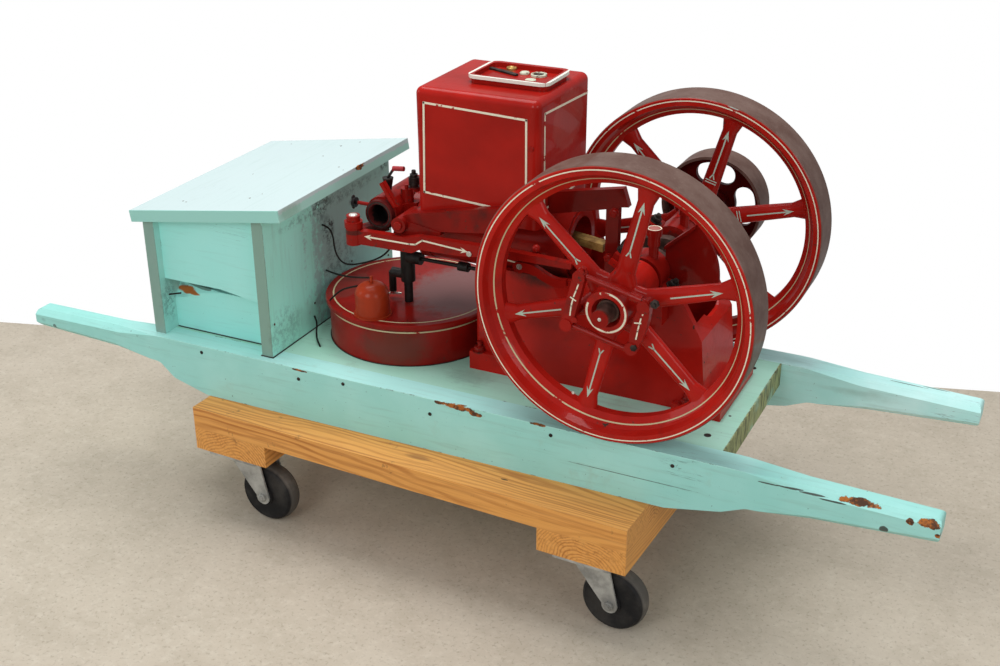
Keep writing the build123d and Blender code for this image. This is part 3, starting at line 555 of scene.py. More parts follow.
WIRES = {
    "wire_head": ([(-278.7, -24, 465), (-265.5, -24.5, 463.5), (-257.5, -25.5, 449), (-256, -27, 431),
                   (-250, -29, 416), (-236, -33, 407.5), (-217, -37, 409.7), (-186, -44, 422),
                   (-155, -50.4, 437.8), (-135, -54, 456), (-123, -57, 478), (-120, -58, 508.7)], 0.2504, "object"),
    "wire_cap": ([(-278.1, -21, 383.3), (-262, -31, 386), (-240, -44.5, 391.5), (-218, -58, 398),
                  (-200, -69, 404), (-181, -80, 411), (-163, -91, 418), (-141.8, -104, 427)], 0.1658, "object"),
    "wire_loose": ([(-165.5, -105.5, 409), (-182, -102.3, 402.5), (-199, -99.5, 394), (-213.5, -97, 381.5),
                    (-225.4, -95.1, 368.8)], 0.0739, "bare"),
    "wire_stub": ([(-277.8, -65, 317.5), (-266, -76, 314), (-258, -92, 305), (-247, -108, 298.5),
                   (-232, -122, 296.8)], 0.0772, "bare"),
}


class ENGINE_OT_wires(Step, bpy.types.Operator):
    """Lay the ignition wires from the battery box"""

    bl_idname = "engine.wires"
    bl_label = "Wires"

    def execute(self, context):
        f = Finish("black_wire")
        speck = f.noise(300, 3)
        skin = f.set(colour=f.blend(speck, (0.006, 0.006, 0.006, 1), (0.014, 0.013, 0.012, 1)),
                     rough=(0.40 + speck * 0.25).clamp(), specular=0.2)
        for name, (points, length, far_end) in WIRES.items():
            data = bpy.data.curves.new(name + "_line", "CURVE")
            data.dimensions = "3D"
            data.bevel_depth = WIRE_D / 2
            data.bevel_resolution = 4
            data.resolution_u = 10
            data.use_fill_caps = True
            route = data.splines.new("NURBS")
            route.points.add(len(points) - 1)
            for point, place in zip(route.points, points):
                point.co = (*at(*place), 1)
            route.order_u = 3
            route.use_endpoint_u = True
            data.materials.append(skin)
            piece = bpy.data.objects.new(name + "_line", data)
            context.scene.collection.objects.link(piece)
            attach(piece, "frame")
            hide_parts(name)
        return self.finish_with("wires laid")


PORT_SOOT = [((-121, -103, 531), (31, 24, 31), 0.72, (0.030, 0.014, 0.014, 1)),
             ((-121, -78, 535), (17.5, 60, 17.5), 1.0, (0.006, 0.005, 0.005, 1)),
             ((-112, -100, 508), (30, 30, 12), 0.70, SOOT_AND_SHADE),
             ((-184, -71, 535), (8, 13, 13), 1.0, (0.012, 0.010, 0.010, 1)),
             ((-89, -49, 578), (12, 12, 22), 0.85, (0.020, 0.015, 0.014, 1))]
ROD_MARKS = [((-152, -128, 513), (20, 20, 5), 0.7, SOOT_AND_SHADE)]
TANK_MARKS = [((-46, 40, 366), (108, 122, 8), 0.90, (0.205, 0.102, 0.098, 1), 0.35),
              ((-90, -125, 326), (80, 40, 44), 0.55, (0.070, 0.040, 0.026, 1), 0.1),
              ((-230, -30, 366), (30, 60, 4), 0.4, (0.16, 0.05, 0.04, 1))]
# A brown stain in the tray, then a painted reflection: a paler pink patch on the hopper's right face.
HOPPER_STAIN_AND_REFLECTION = [((27, 14, 747), (26, 8, 5), 0.75, (0.10, 0.030, 0.015, 1)),
                ((145, 0, 690), (4, 60, 45), 0.35, (0.40, 0.09, 0.075, 1))]


class ENGINE_OT_castings(Step, bpy.types.Operator):
    """Paint the engine's castings, wheels and bright parts"""

    bl_idname = "engine.castings"
    bl_label = "Castings"

    def execute(self, context):
        colours = context.scene.engine_colours
        red = tuple(colours.enamel)
        bare_metal("dark_fastening_and_shadow", (0.012, 0.010, 0.009, 1), (0.06, 0.045, 0.04, 1), 0.5, 0.35, 0.65, 90)
        bare_metal("bright_fastening", (0.45, 0.43, 0.38, 1), (0.82, 0.80, 0.74, 1), 0.5, 0.25, 0.45, 90)
        enamel("red_enamel", red, 0.25, 0.68)
        # Painted shade: two soft dark patches in the soot colour on the near side of the cylinder and the base.
        under = [((130, -62, 470), (60, 40, 26), 0.85, SOOT_AND_SHADE, 0.0), ((205, -62, 500), (40, 40, 30), 0.9, SOOT_AND_SHADE, 0.0)]
        oily = enamel("oily_red_enamel", shade(red, 0.80), 0.80, 0.62)
        # Painted shade: the red at half brightness, for the stay bar and the crank guard's side plates.
        dark = enamel("shaded_red_enamel", shade(red, 0.50), 0.6, 0.66)
        paint_node("cylinder", enamel("cylinder_enamel", shade(red, 0.85), 0.7, 0.64, under))
        paint_node("engine_base", enamel("base_enamel", shade(red, 1.20), 0.35, 0.66, under))
        paint_node("water_hopper", enamel("hopper_enamel", red, 0.10, 0.74, HOPPER_STAIN_AND_REFLECTION, lip=True))
        paint_node("fuel_tank", enamel("tank_enamel", shade(red, 0.72), 0.55, 0.66, TANK_MARKS))
        paint_node("cylinder_head", enamel("head_enamel", shade(red, 0.74), 1.0, 0.60, PORT_SOOT))
        paint_node("side_rod", enamel("rod_enamel", shade(red, 0.82), 0.8, 0.63, ROD_MARKS))
        for node in ("speed_lever", "governor"):
            paint_node(node, oily)
        for node, y in (("bearing_cap_near", -78), ("bearing_cap_far", 56)):
            cup = [((312, y, 577), (9, 9, 5), 0.9, (0.42, 0.16, 0.14, 1)),
                   ((300, y, 504), (30, 40, 30), 0.6, SOOT_AND_SHADE)]
            paint_node(node, enamel(node + "_enamel", shade(red, 0.75), 0.8, 0.63, cup))
        # Painted shade: the arm's red is darkened to 0.62 of the enamel where it sits beneath the hopper.
        paint_node("pivot_arm", enamel("arm_shaded_enamel", shade(red, 0.62), 0.7, 0.64))
        for node in ("stay_bar", "crank_guard"):
            paint_node(node, dark)
        black = ((0.006, 0.005, 0.005, 1), (0.022, 0.017, 0.015, 1), 0.1, 0.3, 0.6, 60)
        paint_node("mixer", bare_metal("mixer_iron", *black))
        paint_node("priming_cup", bare_metal("cup_iron", *black, [((-102, -71, 600), (13, 9, 9), 1.0,
                                                                   (0.33, 0.025, 0.03, 1))]))
        paint_node("fuel_cap", enamel("orange_enamel", tuple(colours.cap), 0.25, 0.70))
        paint_node("piston_and_rod", bare_metal("dull_brass", (0.28, 0.16, 0.05, 1), (0.62, 0.42, 0.14, 1),
                                                0.85, 0.25, 0.5))
        end = [((300, -250, 504), (14, 12, 14), 1.0, shade(red, 0.75))]
        paint_node("crankshaft", bare_metal("oiled_steel", (0.05, 0.028, 0.022, 1), (0.14, 0.08, 0.065, 1),
                                            0.55, 0.25, 0.5, 60, end))
        # Painted shade: a dark patch on the near wheel's hub face, round the shaft in its recess.
        hub_recess_shade = [((300, -226, 504), (15.5, 9, 15.5), 0.9, (0.030, 0.032, 0.027, 1))]
        paint_node("flywheel_near", tread_and_paint("near_wheel_enamel", red, 0.2008, hub_recess_shade))
        worn = [((366, 134, 703), (26, 10, 9), 0.85, (0.34, 0.46, 0.42, 1))]
        paint_node("flywheel_far", tread_and_paint("far_wheel_enamel", shade(red, 0.85), 0.2008, worn))
        paint_node("belt_pulley", tread_and_paint("pulley_enamel", shade(red, 0.20), 0.0775))
        return self.finish_with("castings painted")


RAIL_CHIPS = [((60, -203, 292), (34, 9, 5)), ((88, -202, 287), (12, 5, 4)), ((28, -203, 292), (12, 6, 3.5)),
              ((-221, -202, 292), (17, 6, 2.2)), ((190, -203, 294), (14, 5, 2.5)), ((655, -201, 286), (28, 14, 4.6)),
              ((680, -201, 303), (12, 14, 4.0)), ((723, -201, 277), (6, 14, 4.4)), ((746, -201, 279), (14, 14, 6.0)),
              ((760, -201, 265), (4, 14, 3.0))]
CRACK = (0.040, 0.026, 0.018, 1)
RAIL_MARKS = [((533, -201, 284.9), (16, 8, 1.4), 0.9, CRACK), ((562, -201, 285.5), (22, 8, 1.4), 0.9, CRACK),
              ((594, -201, 283.8), (21, 8, 1.3), 0.9, CRACK), ((622, -201, 280.4), (21, 8, 1.5), 0.9, CRACK),
              ((332, -201, 244.5), (104, 8, 0.8), 0.7, CRACK), ((691, -201, 255), (7, 14, 6.5), 0.9, CRACK),
              ((-745, -186, 276), (12, 20, 8), 0.55, CRACK, 0.1), ((-722, -195, 268), (5, 14, 5), 0.7, CRACK)]
FAR_MARKS = [((650, 163, 291), (30, 1.3, 30), 0.8, CRACK), ((690, 168, 288), (22, 1.2, 30), 0.8, CRACK),
             ((590, 150, 268), (70, 30, 12), 0.25, GREEN_GREY, 0.0)]
LID_FLECKS = [(-458, -147, 519.3), (-448, -152, 520.8), (-424, -3, 524.5), (-338, -132, 537.7), (-329, -111, 539.0), (-276, 32, 547.2), (-257, 15, 550.0), (-350, 99, 535.9), (-327, 183, 539.3), (-352, 160, 535.6), (-470, 180, 517.4)]


class ENGINE_OT_timber(Step, bpy.types.Operator):
    """Paint the carrying frame and battery box, and varnish the dolly"""

    bl_idname = "engine.timber"
    bl_label = "Timber"

    def execute(self, context):
        fade = context.scene.engine_sizes.fade

        def paint(node, along, **options):
            options.setdefault("fade", fade)
            paint_node(node, painted_timber(node + "_paint", node, along, **options))

        paint("rail_near", 0, chips=RAIL_CHIPS, wear=0.7, top=0.85, body=(0.300, 0.655, 0.600, 1),
              light=(0.44, 0.79, 0.745, 1), marks=RAIL_MARKS)
        paint("rail_far", 0, fade=0.9, top=0.6, body=(0.40, 0.77, 0.73, 1), light=(0.60, 0.88, 0.86, 1), marks=FAR_MARKS)
        for node in ("deck_board_near", "deck_board_far"):
            paint(node, 0, raw_end=True, wear=0.8, top=0.35, body=(0.310, 0.640, 0.485, 1), light=(0.47, 0.76, 0.66, 1),
                  marks=[((34, -110, 295), (50, 34, 4), 0.3, (0.10, 0.125, 0.10, 1), 0.0)])
        edge = (0.175, 0.245, 0.200, 1)
        wall = [((-279, 150, 400), (8, 214, 420), 0.72, (0.34, 0.50, 0.485, 1)),
                ((-279, -120, 320), (8, 90, 40), 0.25, (0.20, 0.33, 0.24, 1), 0.0),
                ((-289, -188.5, 400), (16, 2.6, 240), 0.85, edge)]
        mould = [((-279, -25, 505), (10, 30, 42), 0.9), ((-279, -8, 450), (10, 24, 30), 0.95),
                 ((-279, 2, 456), (10, 12, 14), 1.0), ((-279, 74, 474), (10, 16, 11), 1.0),
                 ((-279, 180, 506), (10, 16, 12), 1.0), ((-279, 10, 496), (10, 200, 14), 0.5),
                 ((-279, 20, 380), (10, 70, 70), 0.45), ((-279, -150, 330), (10, 60, 50), 0.30)]
        # Painted light: this wall's mint is written brighter than the other boards' to make up for the shade it stands
        # in.
        paint("box_end_high", 2, body=(0.40, 0.92, 0.78, 1), light=(0.48, 0.93, 0.84, 1), wear=0.35, marks=wall,
              mould=mould)
        paint("box_end_low", 2, marks=[((-501, -188.5, 400), (16, 2.6, 240), 0.75, edge)],
              mould=[((-490, -170, 350), (20, 24, 50), 0.5)])
        paint("box_back", 0)
        front = {"fade": 0.3, "wear": 0.35, "body": (0.335, 0.780, 0.725, 1), "light": (0.46, 0.83, 0.79, 1)}
        # On the lower front board, the last patch is painted shadow: a thin dark line under the upper board's edge.
        paint("box_front_lower", 0, marks=[((-473, -150, 363), (24, 14, 7), 1.0, (0.40, 0.125, 0.03, 1), 0.5),
                                           ((-458, -150, 361), (22, 14, 3.5), 1.0, (0.40, 0.125, 0.03, 1), 0.5),
                                           ((-483, -150, 367), (20, 14, 4), 0.8, (0.09, 0.045, 0.03, 1), 0.1),
                                           ((-470, -150, 372), (60, 14, 3), 0.7, (0.07, 0.075, 0.05, 1))], **front)
        paint("box_front_upper", 0, marks=[((-420, -154, 380), (70, 10, 4), 0.5, GREEN_GREY)], **front)
        (x0, y0, z0), (x1, y1, z1) = [[v / MM for v in corner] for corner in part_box("box_lid")]
        z = (z0 + z1) / 2
        paint("box_lid", 1, fade=0.12, wear=0.16, body=(0.530, 0.640, 0.640, 1), light=(0.505, 0.665, 0.645, 1),
              chips=[((x1, 43, 551), (5, 14, 6))],
              marks=[((x0 / 2 + x1 / 2, y0, z), (400, 2.2, 60), 0.95, (0.300, 0.620, 0.555, 1)),
                     ((x1, 0, z), (2.2, 600, 80), 0.9, (0.37, 0.68, 0.59, 1)),
                     ((x1, -165, 545), (4, 40, 16), 0.5, (0.20, 0.33, 0.24, 1), 0.1)])
        for node, along in (("dolly_beam_near", 0), ("dolly_beam_far", 0), ("dolly_block_left", 1),
                            ("dolly_block_right", 1)):
            paint_node(node, varnished_timber(node + "_varnish", node, along, math.radians(2.5)))
        zinc = bare_metal("zinc_plate", (0.24, 0.24, 0.225, 1), (0.46, 0.46, 0.43, 1), 0.25, 0.35, 0.5, 30)
        for i, pin in enumerate(caster_pins(), 1):
            paint_node("caster_plate_%d" % i, zinc)
            paint_node("caster_fork_%d" % i, zinc)
            paint_node("caster_wheel_%d" % i, rubber("caster_rubber_%d" % i, pin + AHEAD * 36 * MM + at(0, 0, 50.8), TURN))
        return self.finish_with("timber finished")


class ENGINE_OT_wheel_stripes(Step, bpy.types.Operator):
    """Paint the pinstripes and arrows on the flywheels"""

    bl_idname = "engine.wheel_stripes"
    bl_label = "Wheel stripes"

    def execute(self, context):
        width = context.scene.engine_sizes.stripe
        colours = context.scene.engine_colours
        cream = stripe_paint("pinstripe", tuple(colours.stripe), tuple(colours.enamel), 0.60)
        tarnished = stripe_paint("tarnished_pinstripe", (0.56, 0.50, 0.30, 1), tuple(colours.enamel), 0.62)
        mint = stripe_paint("arrow_paint", (0.46, 0.56, 0.47, 1), tuple(colours.enamel), 0.66)
        half = 31.75
        thick = 0.35 * MM
        for word, wheel, side, turn in (("near_outer", -1, -1, NEAR_TURN), ("far_inner", 1, -1, FAR_TURN),
                                        ("far_outer", 1, 1, FAR_TURN)):
            middle = wheel * (206.5 - half)
            face_y = (middle + side * half) * MM
            rings = bmesh.new()
            band(rings, CRANK, [(195.5 * MM, face_y - thick), (197.1 * MM, face_y - thick),
                                (197.1 * MM, face_y + thick), (195.5 * MM, face_y + thick)])
            if wheel < 0:
                hub_y = face_y - 8.5 * MM
                band(rings, CRANK, [(26.6 * MM, hub_y - thick), (29.4 * MM, hub_y - thick), (29.4 * MM, hub_y + thick),
                                    (26.6 * MM, hub_y + thick)], steps=80, sweep=math.radians(312),
                     start=math.radians(-110))
            finished("rim_stripe_" + word, rings, "crank", cream)
            inner = bmesh.new()
            a, b = face_y - side * 18.2 * MM, face_y - side * 16.8 * MM
            band(inner, CRANK, [(178.8 * MM, a - thick), (180.2 * MM, b - thick), (180.2 * MM, b + thick),
                                (178.8 * MM, a + thick)])
            finished("inner_stripe_" + word, inner, "crank", tarnished)
            crest = -11 + middle + side * 8.3
            arrows = bmesh.new()
            for k in range(6):
                angle = turn + 60 * k
                tail, tip = polar(82, angle, crest), polar(156, angle, crest)
                run = (tip - tail).normalized()
                across = Vector((0, side, 0)).cross(run)
                bar(arrows, tail, tip - run * 8 * MM, width * 0.7, 0.9 * MM, (0, side, 0))
                arrow_head(arrows, tip, run, (0, side, 0), 17 * MM, 10 * MM, 1.1 * MM)
                for s in (-1, 1) if k % 3 else ():
                    bar(arrows, tail, tail - run * 8 * MM + across * s * 3.6 * MM, width * 0.6, 0.9 * MM, (0, side, 0))
                if wheel > 0 and side < 0:
                    for r in (67, 71):
                        mid = polar(r, angle, crest)
                        bar(arrows, mid - across * 9 * MM, mid + across * 9 * MM, 1.3 * MM, 0.9 * MM, (0, side, 0))
            finished("arrows_" + word, arrows, "crank", mint)
        return self.finish_with("wheel stripes painted")


class ENGINE_OT_governor_trim(Step, bpy.types.Operator):
    """Paint the governor's lines and fit its nuts and bolts"""

    bl_idname = "engine.governor_trim"
    bl_label = "Governor trim"

    def execute(self, context):
        cream = bpy.data.materials["pinstripe"]
        bm = bmesh.new()
        y = -231.4
        out = (0, -1, 0)
        for sweep, tick in ((((54.2, 134), (49.8, 146), (48.2, 160), (48.4, 176), (50.8, 191.9)), (162, 163.9)),
                            (((59.5, 17.4), (52.4, 6), (49.8, -6), (50.2, -18), (53.2, -30.2)), (-3, -5))):
            line(bm, [polar(r, angle, y) for r, angle in sweep], 1.9 * MM, 0.9 * MM, out)
            line(bm, [polar(51.8, tick[0], y - 0.1), polar(43.6, tick[1], y - 0.1)], 1.7 * MM, 0.9 * MM, out)
        finished("governor_stripes", bm, "crank", cream)
        bm = bmesh.new()
        nut(bm, polar(66.6, 117.6, -231), out, 10 * MM, 4 * MM, 0.3)
        disc(bm, polar(66.6, 117.6, -234.5), out, 3 * MM, 4 * MM)
        nut(bm, polar(46, -158.8, -230), out, 8 * MM, 3 * MM, 0.5)
        finished("governor_bolts", bm, "crank", bpy.data.materials["oily_red_enamel"])
        bm = bmesh.new()
        nut(bm, polar(76.6, 22.6, -231), out, 11 * MM, 5 * MM, 0.3)
        disc(bm, polar(76.6, 22.6, -235.5), out, 3 * MM, 4 * MM)
        nut(bm, polar(59.2, -42.9, -230), out, 9 * MM, 4 * MM, 0.5)
        finished("governor_nuts", bm, "crank", bpy.data.materials["dark_fastening_and_shadow"])
        bm = bmesh.new()
        disc(bm, at(300, -249.3, 504), out, 2.6 * MM, 0.9 * MM)
        disc(bm, polar(163, -111.5, -190), out, 2.2 * MM, 1.2 * MM)
        finished("shaft_centre", bm, "crank", bpy.data.materials["bright_fastening"])
        return self.finish_with("governor trimmed")


class ENGINE_OT_body_stripes(Step, bpy.types.Operator):
    """Paint the pinstripes on the hopper, the tank and the side rod"""

    bl_idname = "engine.body_stripes"
    bl_label = "Body stripes"

    def execute(self, context):
        width = context.scene.engine_sizes.stripe
        cream = bpy.data.materials["pinstripe"]
        bm = bmesh.new()
        y, x = -104.2, 145.2
        line(bm, [at(-37.4, y, 720.4), at(125.5, y, 714.5), at(125.5, y, 574), at(-40.3, y, 584.1)],
             width, 0.8 * MM, (0, -1, 0), closed=True)
        line(bm, [at(x, 70, 712.3), at(x, -84, 720.7), at(x, -84, 578), at(x, 70, 580)], width, 0.8 * MM, (1, 0, 0))
        for z in (712.3, 580):
            line(bm, [at(x, 70, z), at(x - 2.6, 78, z)], width, 0.8 * MM, (1, 0.3, 0))
        finished("stripes_hopper", bm, "frame", cream)
        bm = bmesh.new()
        tank = at(-127, 5, 0)
        flat_ring(bm, tank + at(0, 0, 367), 131, width / MM * 0.8, 0.6, (0, 0, 1), 150)
        flat_ring(bm, tank + at(0, 0, 353), 138, 0.8, width / MM * 0.7, (0, 0, 1), 150)
        finished("stripe_tank", bm, "frame", bpy.data.materials["tarnished_pinstripe"])
        bm = bmesh.new()
        front = -134.1
        points = [at(-122, front, 509), at(-52, front, 509.5), at(-42, front, 510.5), at(-30, front, 519),
                  at(38, front, 514.5)]
        line(bm, points, width * 0.8, 0.8 * MM, (0, -1, 0))
        for tip, inward in ((points[0], points[1]), (points[-1], points[-2])):
            arrow_head(bm, tip + (tip - inward).normalized() * 8 * MM, (tip - inward).normalized(), (0, -1, 0),
                       12 * MM, 9 * MM, 1.0 * MM)
        finished("stripes_side_rod", bm, "frame", cream)
        bm = bmesh.new()
        line(bm, [at(100.6, -127, 509.9), at(118.5, -127, 508)], 2 * MM, 0.9 * MM, (0, -1, 0))
        for y in (-78, 56):
            flat_ring(bm, at(312, y, 575.2), 9.4, 1.6, 0.6, (0, 0, 1), 48)
        finished("stripes_small", bm, "frame", cream)
        return self.finish_with("body stripes painted")


class ENGINE_OT_head_fittings(Step, bpy.types.Operator):
    """Fit the studs, nuts and screws round the cylinder head"""

    bl_idname = "engine.head_fittings"
    bl_label = "Head fittings"

    def execute(self, context):
        dark = bpy.data.materials["dark_fastening_and_shadow"]
        bright = bpy.data.materials["bright_fastening"]
        red = bpy.data.materials["oily_red_enamel"]
        bm = bmesh.new()
        for s in (-1, 1):
            dome(bm, at(-186, -71, 535 + 7 * s), (1, 0, 0), 4.6 * MM, 0.5)
        nut(bm, at(-89, -49, 570), (0, 0, 1), 15 * MM, 6 * MM, 0.2)
        nut(bm, at(-89, -49, 583), (0, 0, 1), 12 * MM, 5 * MM, 0.5)
        disc(bm, at(-89, -49, 588), (0, 0, 1), 3.5 * MM, 6 * MM)
        for i in range(6):
            flat_ring(bm, at(-89, -49, 571.5 + 2.2 * i), 7.4, 2.0, 1.2, (0, 0, 1), 24)
        flat_ring(bm, at(-121, -104.8, 535), 19.5, 2.0, 1.2, steps=60)
        flat_ring(bm, at(-122, -71, 583.5), 7.6, 1.8, 1.6, (0, 0, 1), 36)
        for x, z in ((-60, 536), (-66, 480)):
            nut(bm, at(x, -60, z), (-1, 0, 0), 12 * MM, 8 * MM, 0.3)
        finished("head_nuts", bm, "frame", dark)
        bm = bmesh.new()
        dome(bm, at(-152, -128, 538), (0, 0, 1), 6.6 * MM, 0.35)
        disc(bm, at(48.3, -135.2, 511.5), (0, -1, 0), 4.2 * MM, 1.2 * MM)
        dome(bm, at(59, -130, 513), (0, -1, 0), 2.4 * MM, 0.5)
        disc(bm, at(-140, -39, 381), (0, 0, -1), 5 * MM, 5 * MM)
        rod(bm, at(-151, -44, 375), at(-128, -34, 375), 1.8 * MM)
        disc(bm, at(126.4, -127, 503), (0, -1, 0), 5.2 * MM, 2 * MM)
        finished("bright_studs", bm, "frame", bright)
        bm = bmesh.new()
        disc(bm, at(-73.4, -129.2, 533.9), (0, -1, 0), 6.5 * MM, 3 * MM)
        rod(bm, at(-95, -62, 540), at(-95, -62, 574), 3 * MM)
        for z in (546, 552, 558, 564):
            flat_ring(bm, at(-95, -62, z), 3.6, 1.6, 1.6, (0, 0, 1), 24)
        bar(bm, at(-119, -96.5, 582.5), at(-97, -96.5, 548), 5 * MM, 3 * MM, (0, -1, 0))
        finished("red_fittings", bm, "frame", red)
        bm = bmesh.new()
        dome(bm, at(148.5, -118, 531.4), (0, -1, 0), 6 * MM, 0.9)
        rod(bm, at(148.5, -116, 531), at(146, -104, 524), 2.4 * MM)
        finished("lever_fittings", bm, "frame", bpy.data.materials["red_enamel"])
        return self.finish_with("head fitted")


class ENGINE_OT_hopper_fittings(Step, bpy.types.Operator):
    """Fit the plug and lay the small things in the hopper's tray"""

    bl_idname = "engine.hopper_fittings"
    bl_label = "Hopper fittings"

    def execute(self, context):
        bm = bmesh.new()
        disc(bm, at(132.9, -104, 674), (0, -1, 0), 4.2 * MM, 1.6 * MM)
        for x, z in ((247.7, 584.9), (241.2, 514.8)):
            nut(bm, at(x, -69.6, z), (0, -1, 0), 11 * MM, 4.5 * MM, 0.4, 7.5 * MM)
        finished("plug_and_bar_bolts", bm, "frame", bpy.data.materials["oily_red_enamel"])
        bm = bmesh.new()
        bar(bm, at(12.1, 13.9, 748.5), at(65.3, -6.4, 748.5), 7 * MM, 3 * MM, (0, 0, 1))
        soften(bm, bm.verts[:], 0.8 * MM)
        disc(bm, at(94.2, 7.5, 747), (0, 0, 1), 6.5 * MM, 2.2 * MM)
        finished("tray_bar", bm, "frame", bpy.data.materials["dark_fastening_and_shadow"])
        bm = bmesh.new()
        disc(bm, at(70.6, 8.9, 747), (0, 0, 1), 7.2 * MM, 3.2 * MM)
        flat_ring(bm, at(94.2, 7.5, 748.4), 10, 4, 3, (0, 0, 1), 40)
        disc(bm, at(94.2, -22.1, 747), (0, 0, 1), 8 * MM, 2.2 * MM)
        finished("tray_washers", bm, "frame",
                 stripe_paint("worn_washer", (0.56, 0.60, 0.46, 1), (0.20, 0.15, 0.10, 1), 0.58))
        bm = bmesh.new()
        disc(bm, at(42, 25.1, 747), (0, 0, 1), 8 * MM, 3.5 * MM)
        dome(bm, at(42, 25.1, 750.4), (0, 0, 1), 4 * MM, 0.4)
        finished("tray_brass", bm, "frame", bpy.data.materials["dull_brass"])
        return self.finish_with("hopper fitted")


class ENGINE_OT_fastenings(Step, bpy.types.Operator):
    """Fit the nuts, bolts and nails of the frame, the base and the box"""

    bl_idname = "engine.fastenings"
    bl_label = "Nuts, bolts and nails"

    def execute(self, context):
        dark = bpy.data.materials["dark_fastening_and_shadow"]
        rust = bare_metal("rusty_nail", (0.045, 0.020, 0.010, 1), (0.12, 0.055, 0.03, 1), 0.2, 0.6, 0.85, 140)
        bm = bmesh.new()
        for x, z in ((-409.6, 283.7), (-222.9, 276.5), (-140.5, 286.1), (12, 269.2), (211.1, 281.1), (396.9, 277.6)):
            disc(bm, at(x, -201.3, z), (0, -1, 0), 2.9 * MM, 1.2 * MM)
        for x, y in ((423, -128), (421.5, 104.4), (-300, -120), (-490, -120)):
            dome(bm, at(x, y, 294.8), (0, 0, 1), 5.5 * MM, 0.25)
        dome(bm, at(435, -59.8, 294.8), (0, 0, 1), 2.4 * MM, 0.3)
        finished("rail_bolts", bm, "frame", dark)

        # Painted shadow: thin dark strips where the battery box meets the deck and a dark arc round the foot of the
        # tank; the two rods are bent nails in the box front.
        bm = bmesh.new()
        line(bm, [at(-489, -154, 295.6), at(-300, -154, 295.6)], 2.4 * MM, 1.4 * MM, (0, 0, 1))
        line(bm, [at(-300, -188, 295.6), at(-278.6, -188, 295.6), at(-278.6, 186, 295.6)], 2.2 * MM, 1.4 * MM, (0, 0, 1))
        flat_ring(bm, at(-127, 5, 295.5), 138.6, 2.2, 1.2, (0, 0, 1), 120, math.radians(200), math.radians(-190))
        for a, b in (((-491.3, -168, 421.6), (-472.6, -168, 424.3)), ((-491.3, -168, 358.2), (-466.3, -168, 365.3))):
            rod(bm, at(*a), at(*b), 1.4 * MM, 10)
        finished("shadow_gaps_and_nails", bm, "frame", dark)

        random.seed(7)
        bm = bmesh.new()
        for y in (-176, -60, 60, 182):
            dome(bm, at(-278.9, y, 330 + random.uniform(0, 60)), (1, 0, 0), 2.0 * MM, 0.5)
        finished("box_nails", bm, "frame", rust)

        bm = bmesh.new()
        for place in LID_FLECKS:
            dome(bm, at(*place), (-0.151, 0, 0.988), random.uniform(1.3, 2.2) * MM, 0.15)
        finished("lid_nails", bm, "frame", rust)

        bm = bmesh.new()
        for x, z in ((34, 324.6), (372, 308.6)):
            for y in (-77, 78):
                nut(bm, at(x, y, z), (0, 0, 1), 15 * MM, 9 * MM, random.random(), 11 * MM)
                disc(bm, at(x, y, z + 8), (0, 0, 1), 4.6 * MM, 9 * MM)
        finished("foot_bolts", bm, "frame", bpy.data.materials["oily_red_enamel"])

        bm = bmesh.new()
        slope = (0.469, 0, 0.883)
        for y in (-78, 56):
            for x, z in ((342.2, 491.8), (266.2, 532.1)):
                nut(bm, at(x, y, z), slope, 14 * MM, 8 * MM, 0.4, 10 * MM)
                disc(bm, at(x, y, z) + Vector(slope) * 7.5 * MM, slope, 4 * MM, 6 * MM)
        finished("bearing_nuts", bm, "frame", dark)
        return self.finish_with("fastenings fitted")


class ENGINE_OT_caster_fittings(Step, bpy.types.Operator):
    """Fit the casters' axle nuts and plate bolts"""

    bl_idname = "engine.caster_fittings"
    bl_label = "Caster fittings"

    def execute(self, context):
        zinc = bpy.data.materials["zinc_plate"]
        plates = bmesh.new()
        for i, pin in enumerate(caster_pins(), 1):
            for ex in (-1, 1):
                for ey in (-1, 1):
                    foot = pin + AHEAD * ex * 39 * MM + ASIDE * ey * 35 * MM + at(0, 0, 126.2)
                    nut(plates, foot, (0, 0, -1), 10 * MM, 4.5 * MM, 0.5 * ex + ey)
            bm = bmesh.new()
            axle = pin + AHEAD * 36 * MM + at(0, 0, 50.8)
            for s in (-1, 1):
                nut(bm, axle + ASIDE * s * 24.8 * MM, ASIDE * s, 13 * MM, 5 * MM, 0.4)
                disc(bm, axle + ASIDE * s * 29 * MM, ASIDE * s, 3.6 * MM, 4 * MM)
            finished("axle_nuts_" + str(i), bm, "fork_" + str(i), zinc)
        finished("plate_bolts", plates, "frame", zinc)
        return self.finish_with("casters fitted")


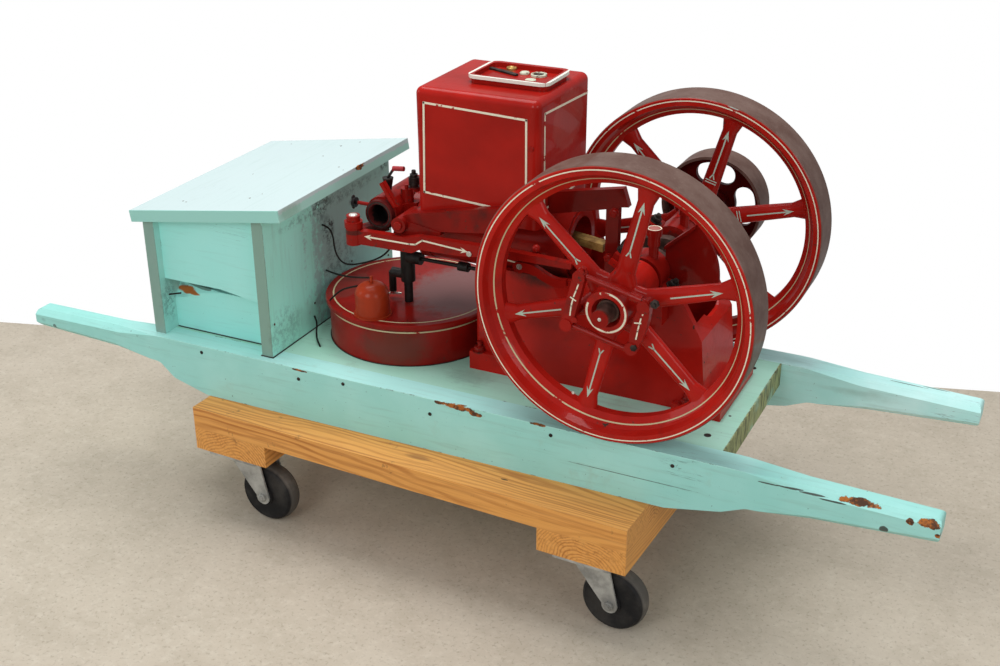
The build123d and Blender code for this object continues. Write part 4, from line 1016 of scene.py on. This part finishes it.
class ENGINE_OT_stage(Step, bpy.types.Operator):
    """Set up the pale floor, the white surround and the soft lamps"""

    bl_idname = "engine.stage"
    bl_label = "Stage"

    def execute(self, context):
        bm = bmesh.new()
        bmesh.ops.create_grid(bm, x_segments=2, y_segments=2, size=6.0)
        bmesh.ops.bisect_plane(bm, geom=bm.verts[:] + bm.edges[:] + bm.faces[:], dist=1e-6,
                               plane_co=(-1.2787, 0.1858, 0), plane_no=(-0.2818, 0.9595, 0), clear_outer=True)
        mesh = bpy.data.meshes.new("floor")
        bm.to_mesh(mesh)
        bm.free()
        floor = bpy.data.objects.new("floor", mesh)
        context.scene.collection.objects.link(floor)
        f = Finish("floor_concrete")
        tone = f.blend(f.noise(2.2, 5).step(0.3, 0.7) * 0.5, (0.50, 0.440, 0.355, 1), (0.55, 0.490, 0.405, 1))
        tone = f.blend(f.noise(11, 6, 0.7).step(0.40, 0.66) * 0.42, tone, (0.40, 0.350, 0.275, 1))
        tone = f.blend(f.noise(60, 5, 0.75).step(0.48, 0.66) * 0.40, tone, (0.60, 0.550, 0.460, 1))
        tone = f.blend(f.noise(150, 4, 0.7).step(0.54, 0.66) * 0.45, tone, (0.27, 0.23, 0.18, 1))
        mesh.materials.append(f.set(colour=tone, rough=0.8, specular=0.1))
        world = bpy.data.worlds.new("soft_room")
        world.use_nodes = True
        context.scene.world = world
        tree = world.node_tree
        tree.nodes.clear()
        out = tree.nodes.new("ShaderNodeOutputWorld")
        lit = tree.nodes.new("ShaderNodeBackground")
        lit.inputs["Color"].default_value = (0.97, 0.98, 1.0, 1)
        lit.inputs["Strength"].default_value = 0.42
        seen = tree.nodes.new("ShaderNodeBackground")
        seen.inputs["Color"].default_value = (1, 1, 1, 1)
        seen.inputs["Strength"].default_value = 1.0
        path = tree.nodes.new("ShaderNodeLightPath")
        mix = tree.nodes.new("ShaderNodeMixShader")
        tree.links.new(path.outputs["Is Camera Ray"], mix.inputs[0])
        tree.links.new(lit.outputs[0], mix.inputs[1])
        tree.links.new(seen.outputs[0], mix.inputs[2])
        tree.links.new(mix.outputs[0], out.inputs["Surface"])
        for name, place, size, power in (("lamp_over", (-0.4, 0.3, 3.0), 2.2, 68),
                                         ("lamp_front", (-0.2, -3.2, 2.0), 1.8, 34),
                                         ("lamp_side", (-3.0, -1.2, 1.6), 1.6, 14),
                                         ("lamp_right", (2.8, -1.5, 1.8), 1.6, 20)):
            data = bpy.data.lights.new(name, "AREA")
            data.shape = "DISK"
            data.size = size
            data.energy = power
            lamp = bpy.data.objects.new(name, data)
            lamp.location = place
            aim = Vector((0, 0, 0.45)) - Vector(place)
            lamp.rotation_euler = aim.to_track_quat("-Z", "Y").to_euler()
            context.scene.collection.objects.link(lamp)
        context.scene.view_settings.view_transform = "Standard"
        return self.finish_with("stage set")


OPERATORS = (ENGINE_OT_camera, ENGINE_OT_wires, ENGINE_OT_castings, ENGINE_OT_timber, ENGINE_OT_wheel_stripes,
             ENGINE_OT_governor_trim, ENGINE_OT_body_stripes, ENGINE_OT_head_fittings, ENGINE_OT_hopper_fittings,
             ENGINE_OT_fastenings, ENGINE_OT_caster_fittings, ENGINE_OT_stage)


class ENGINE_PT_parts(bpy.types.Panel):
    """Lists the engine's sizes, colours and parts"""

    bl_label = "Engine"
    bl_space_type = "VIEW_3D"
    bl_region_type = "UI"
    bl_category = "Engine"

    def draw(self, context):
        for group in (context.scene.engine_colours, context.scene.engine_sizes):
            for name in group.bl_rna.properties.keys():
                if name not in ("rna_type", "name"):
                    self.layout.prop(group, name)
        for step in OPERATORS:
            self.layout.operator(step.bl_idname)


CLASSES = (EngineColours, EngineSizes, *OPERATORS, ENGINE_PT_parts)


def register():
    for cls in CLASSES:
        bpy.utils.register_class(cls)
    bpy.types.Scene.engine_colours = PointerProperty(type=EngineColours)
    bpy.types.Scene.engine_sizes = PointerProperty(type=EngineSizes)


def unregister():
    del bpy.types.Scene.engine_colours
    del bpy.types.Scene.engine_sizes
    for cls in reversed(CLASSES):
        bpy.utils.unregister_class(cls)


def main():
    register()
    for step in OPERATORS:
        group, name = step.bl_idname.split(".")
        getattr(getattr(bpy.ops, group), name)()


if __name__ == "__main__":
    main()
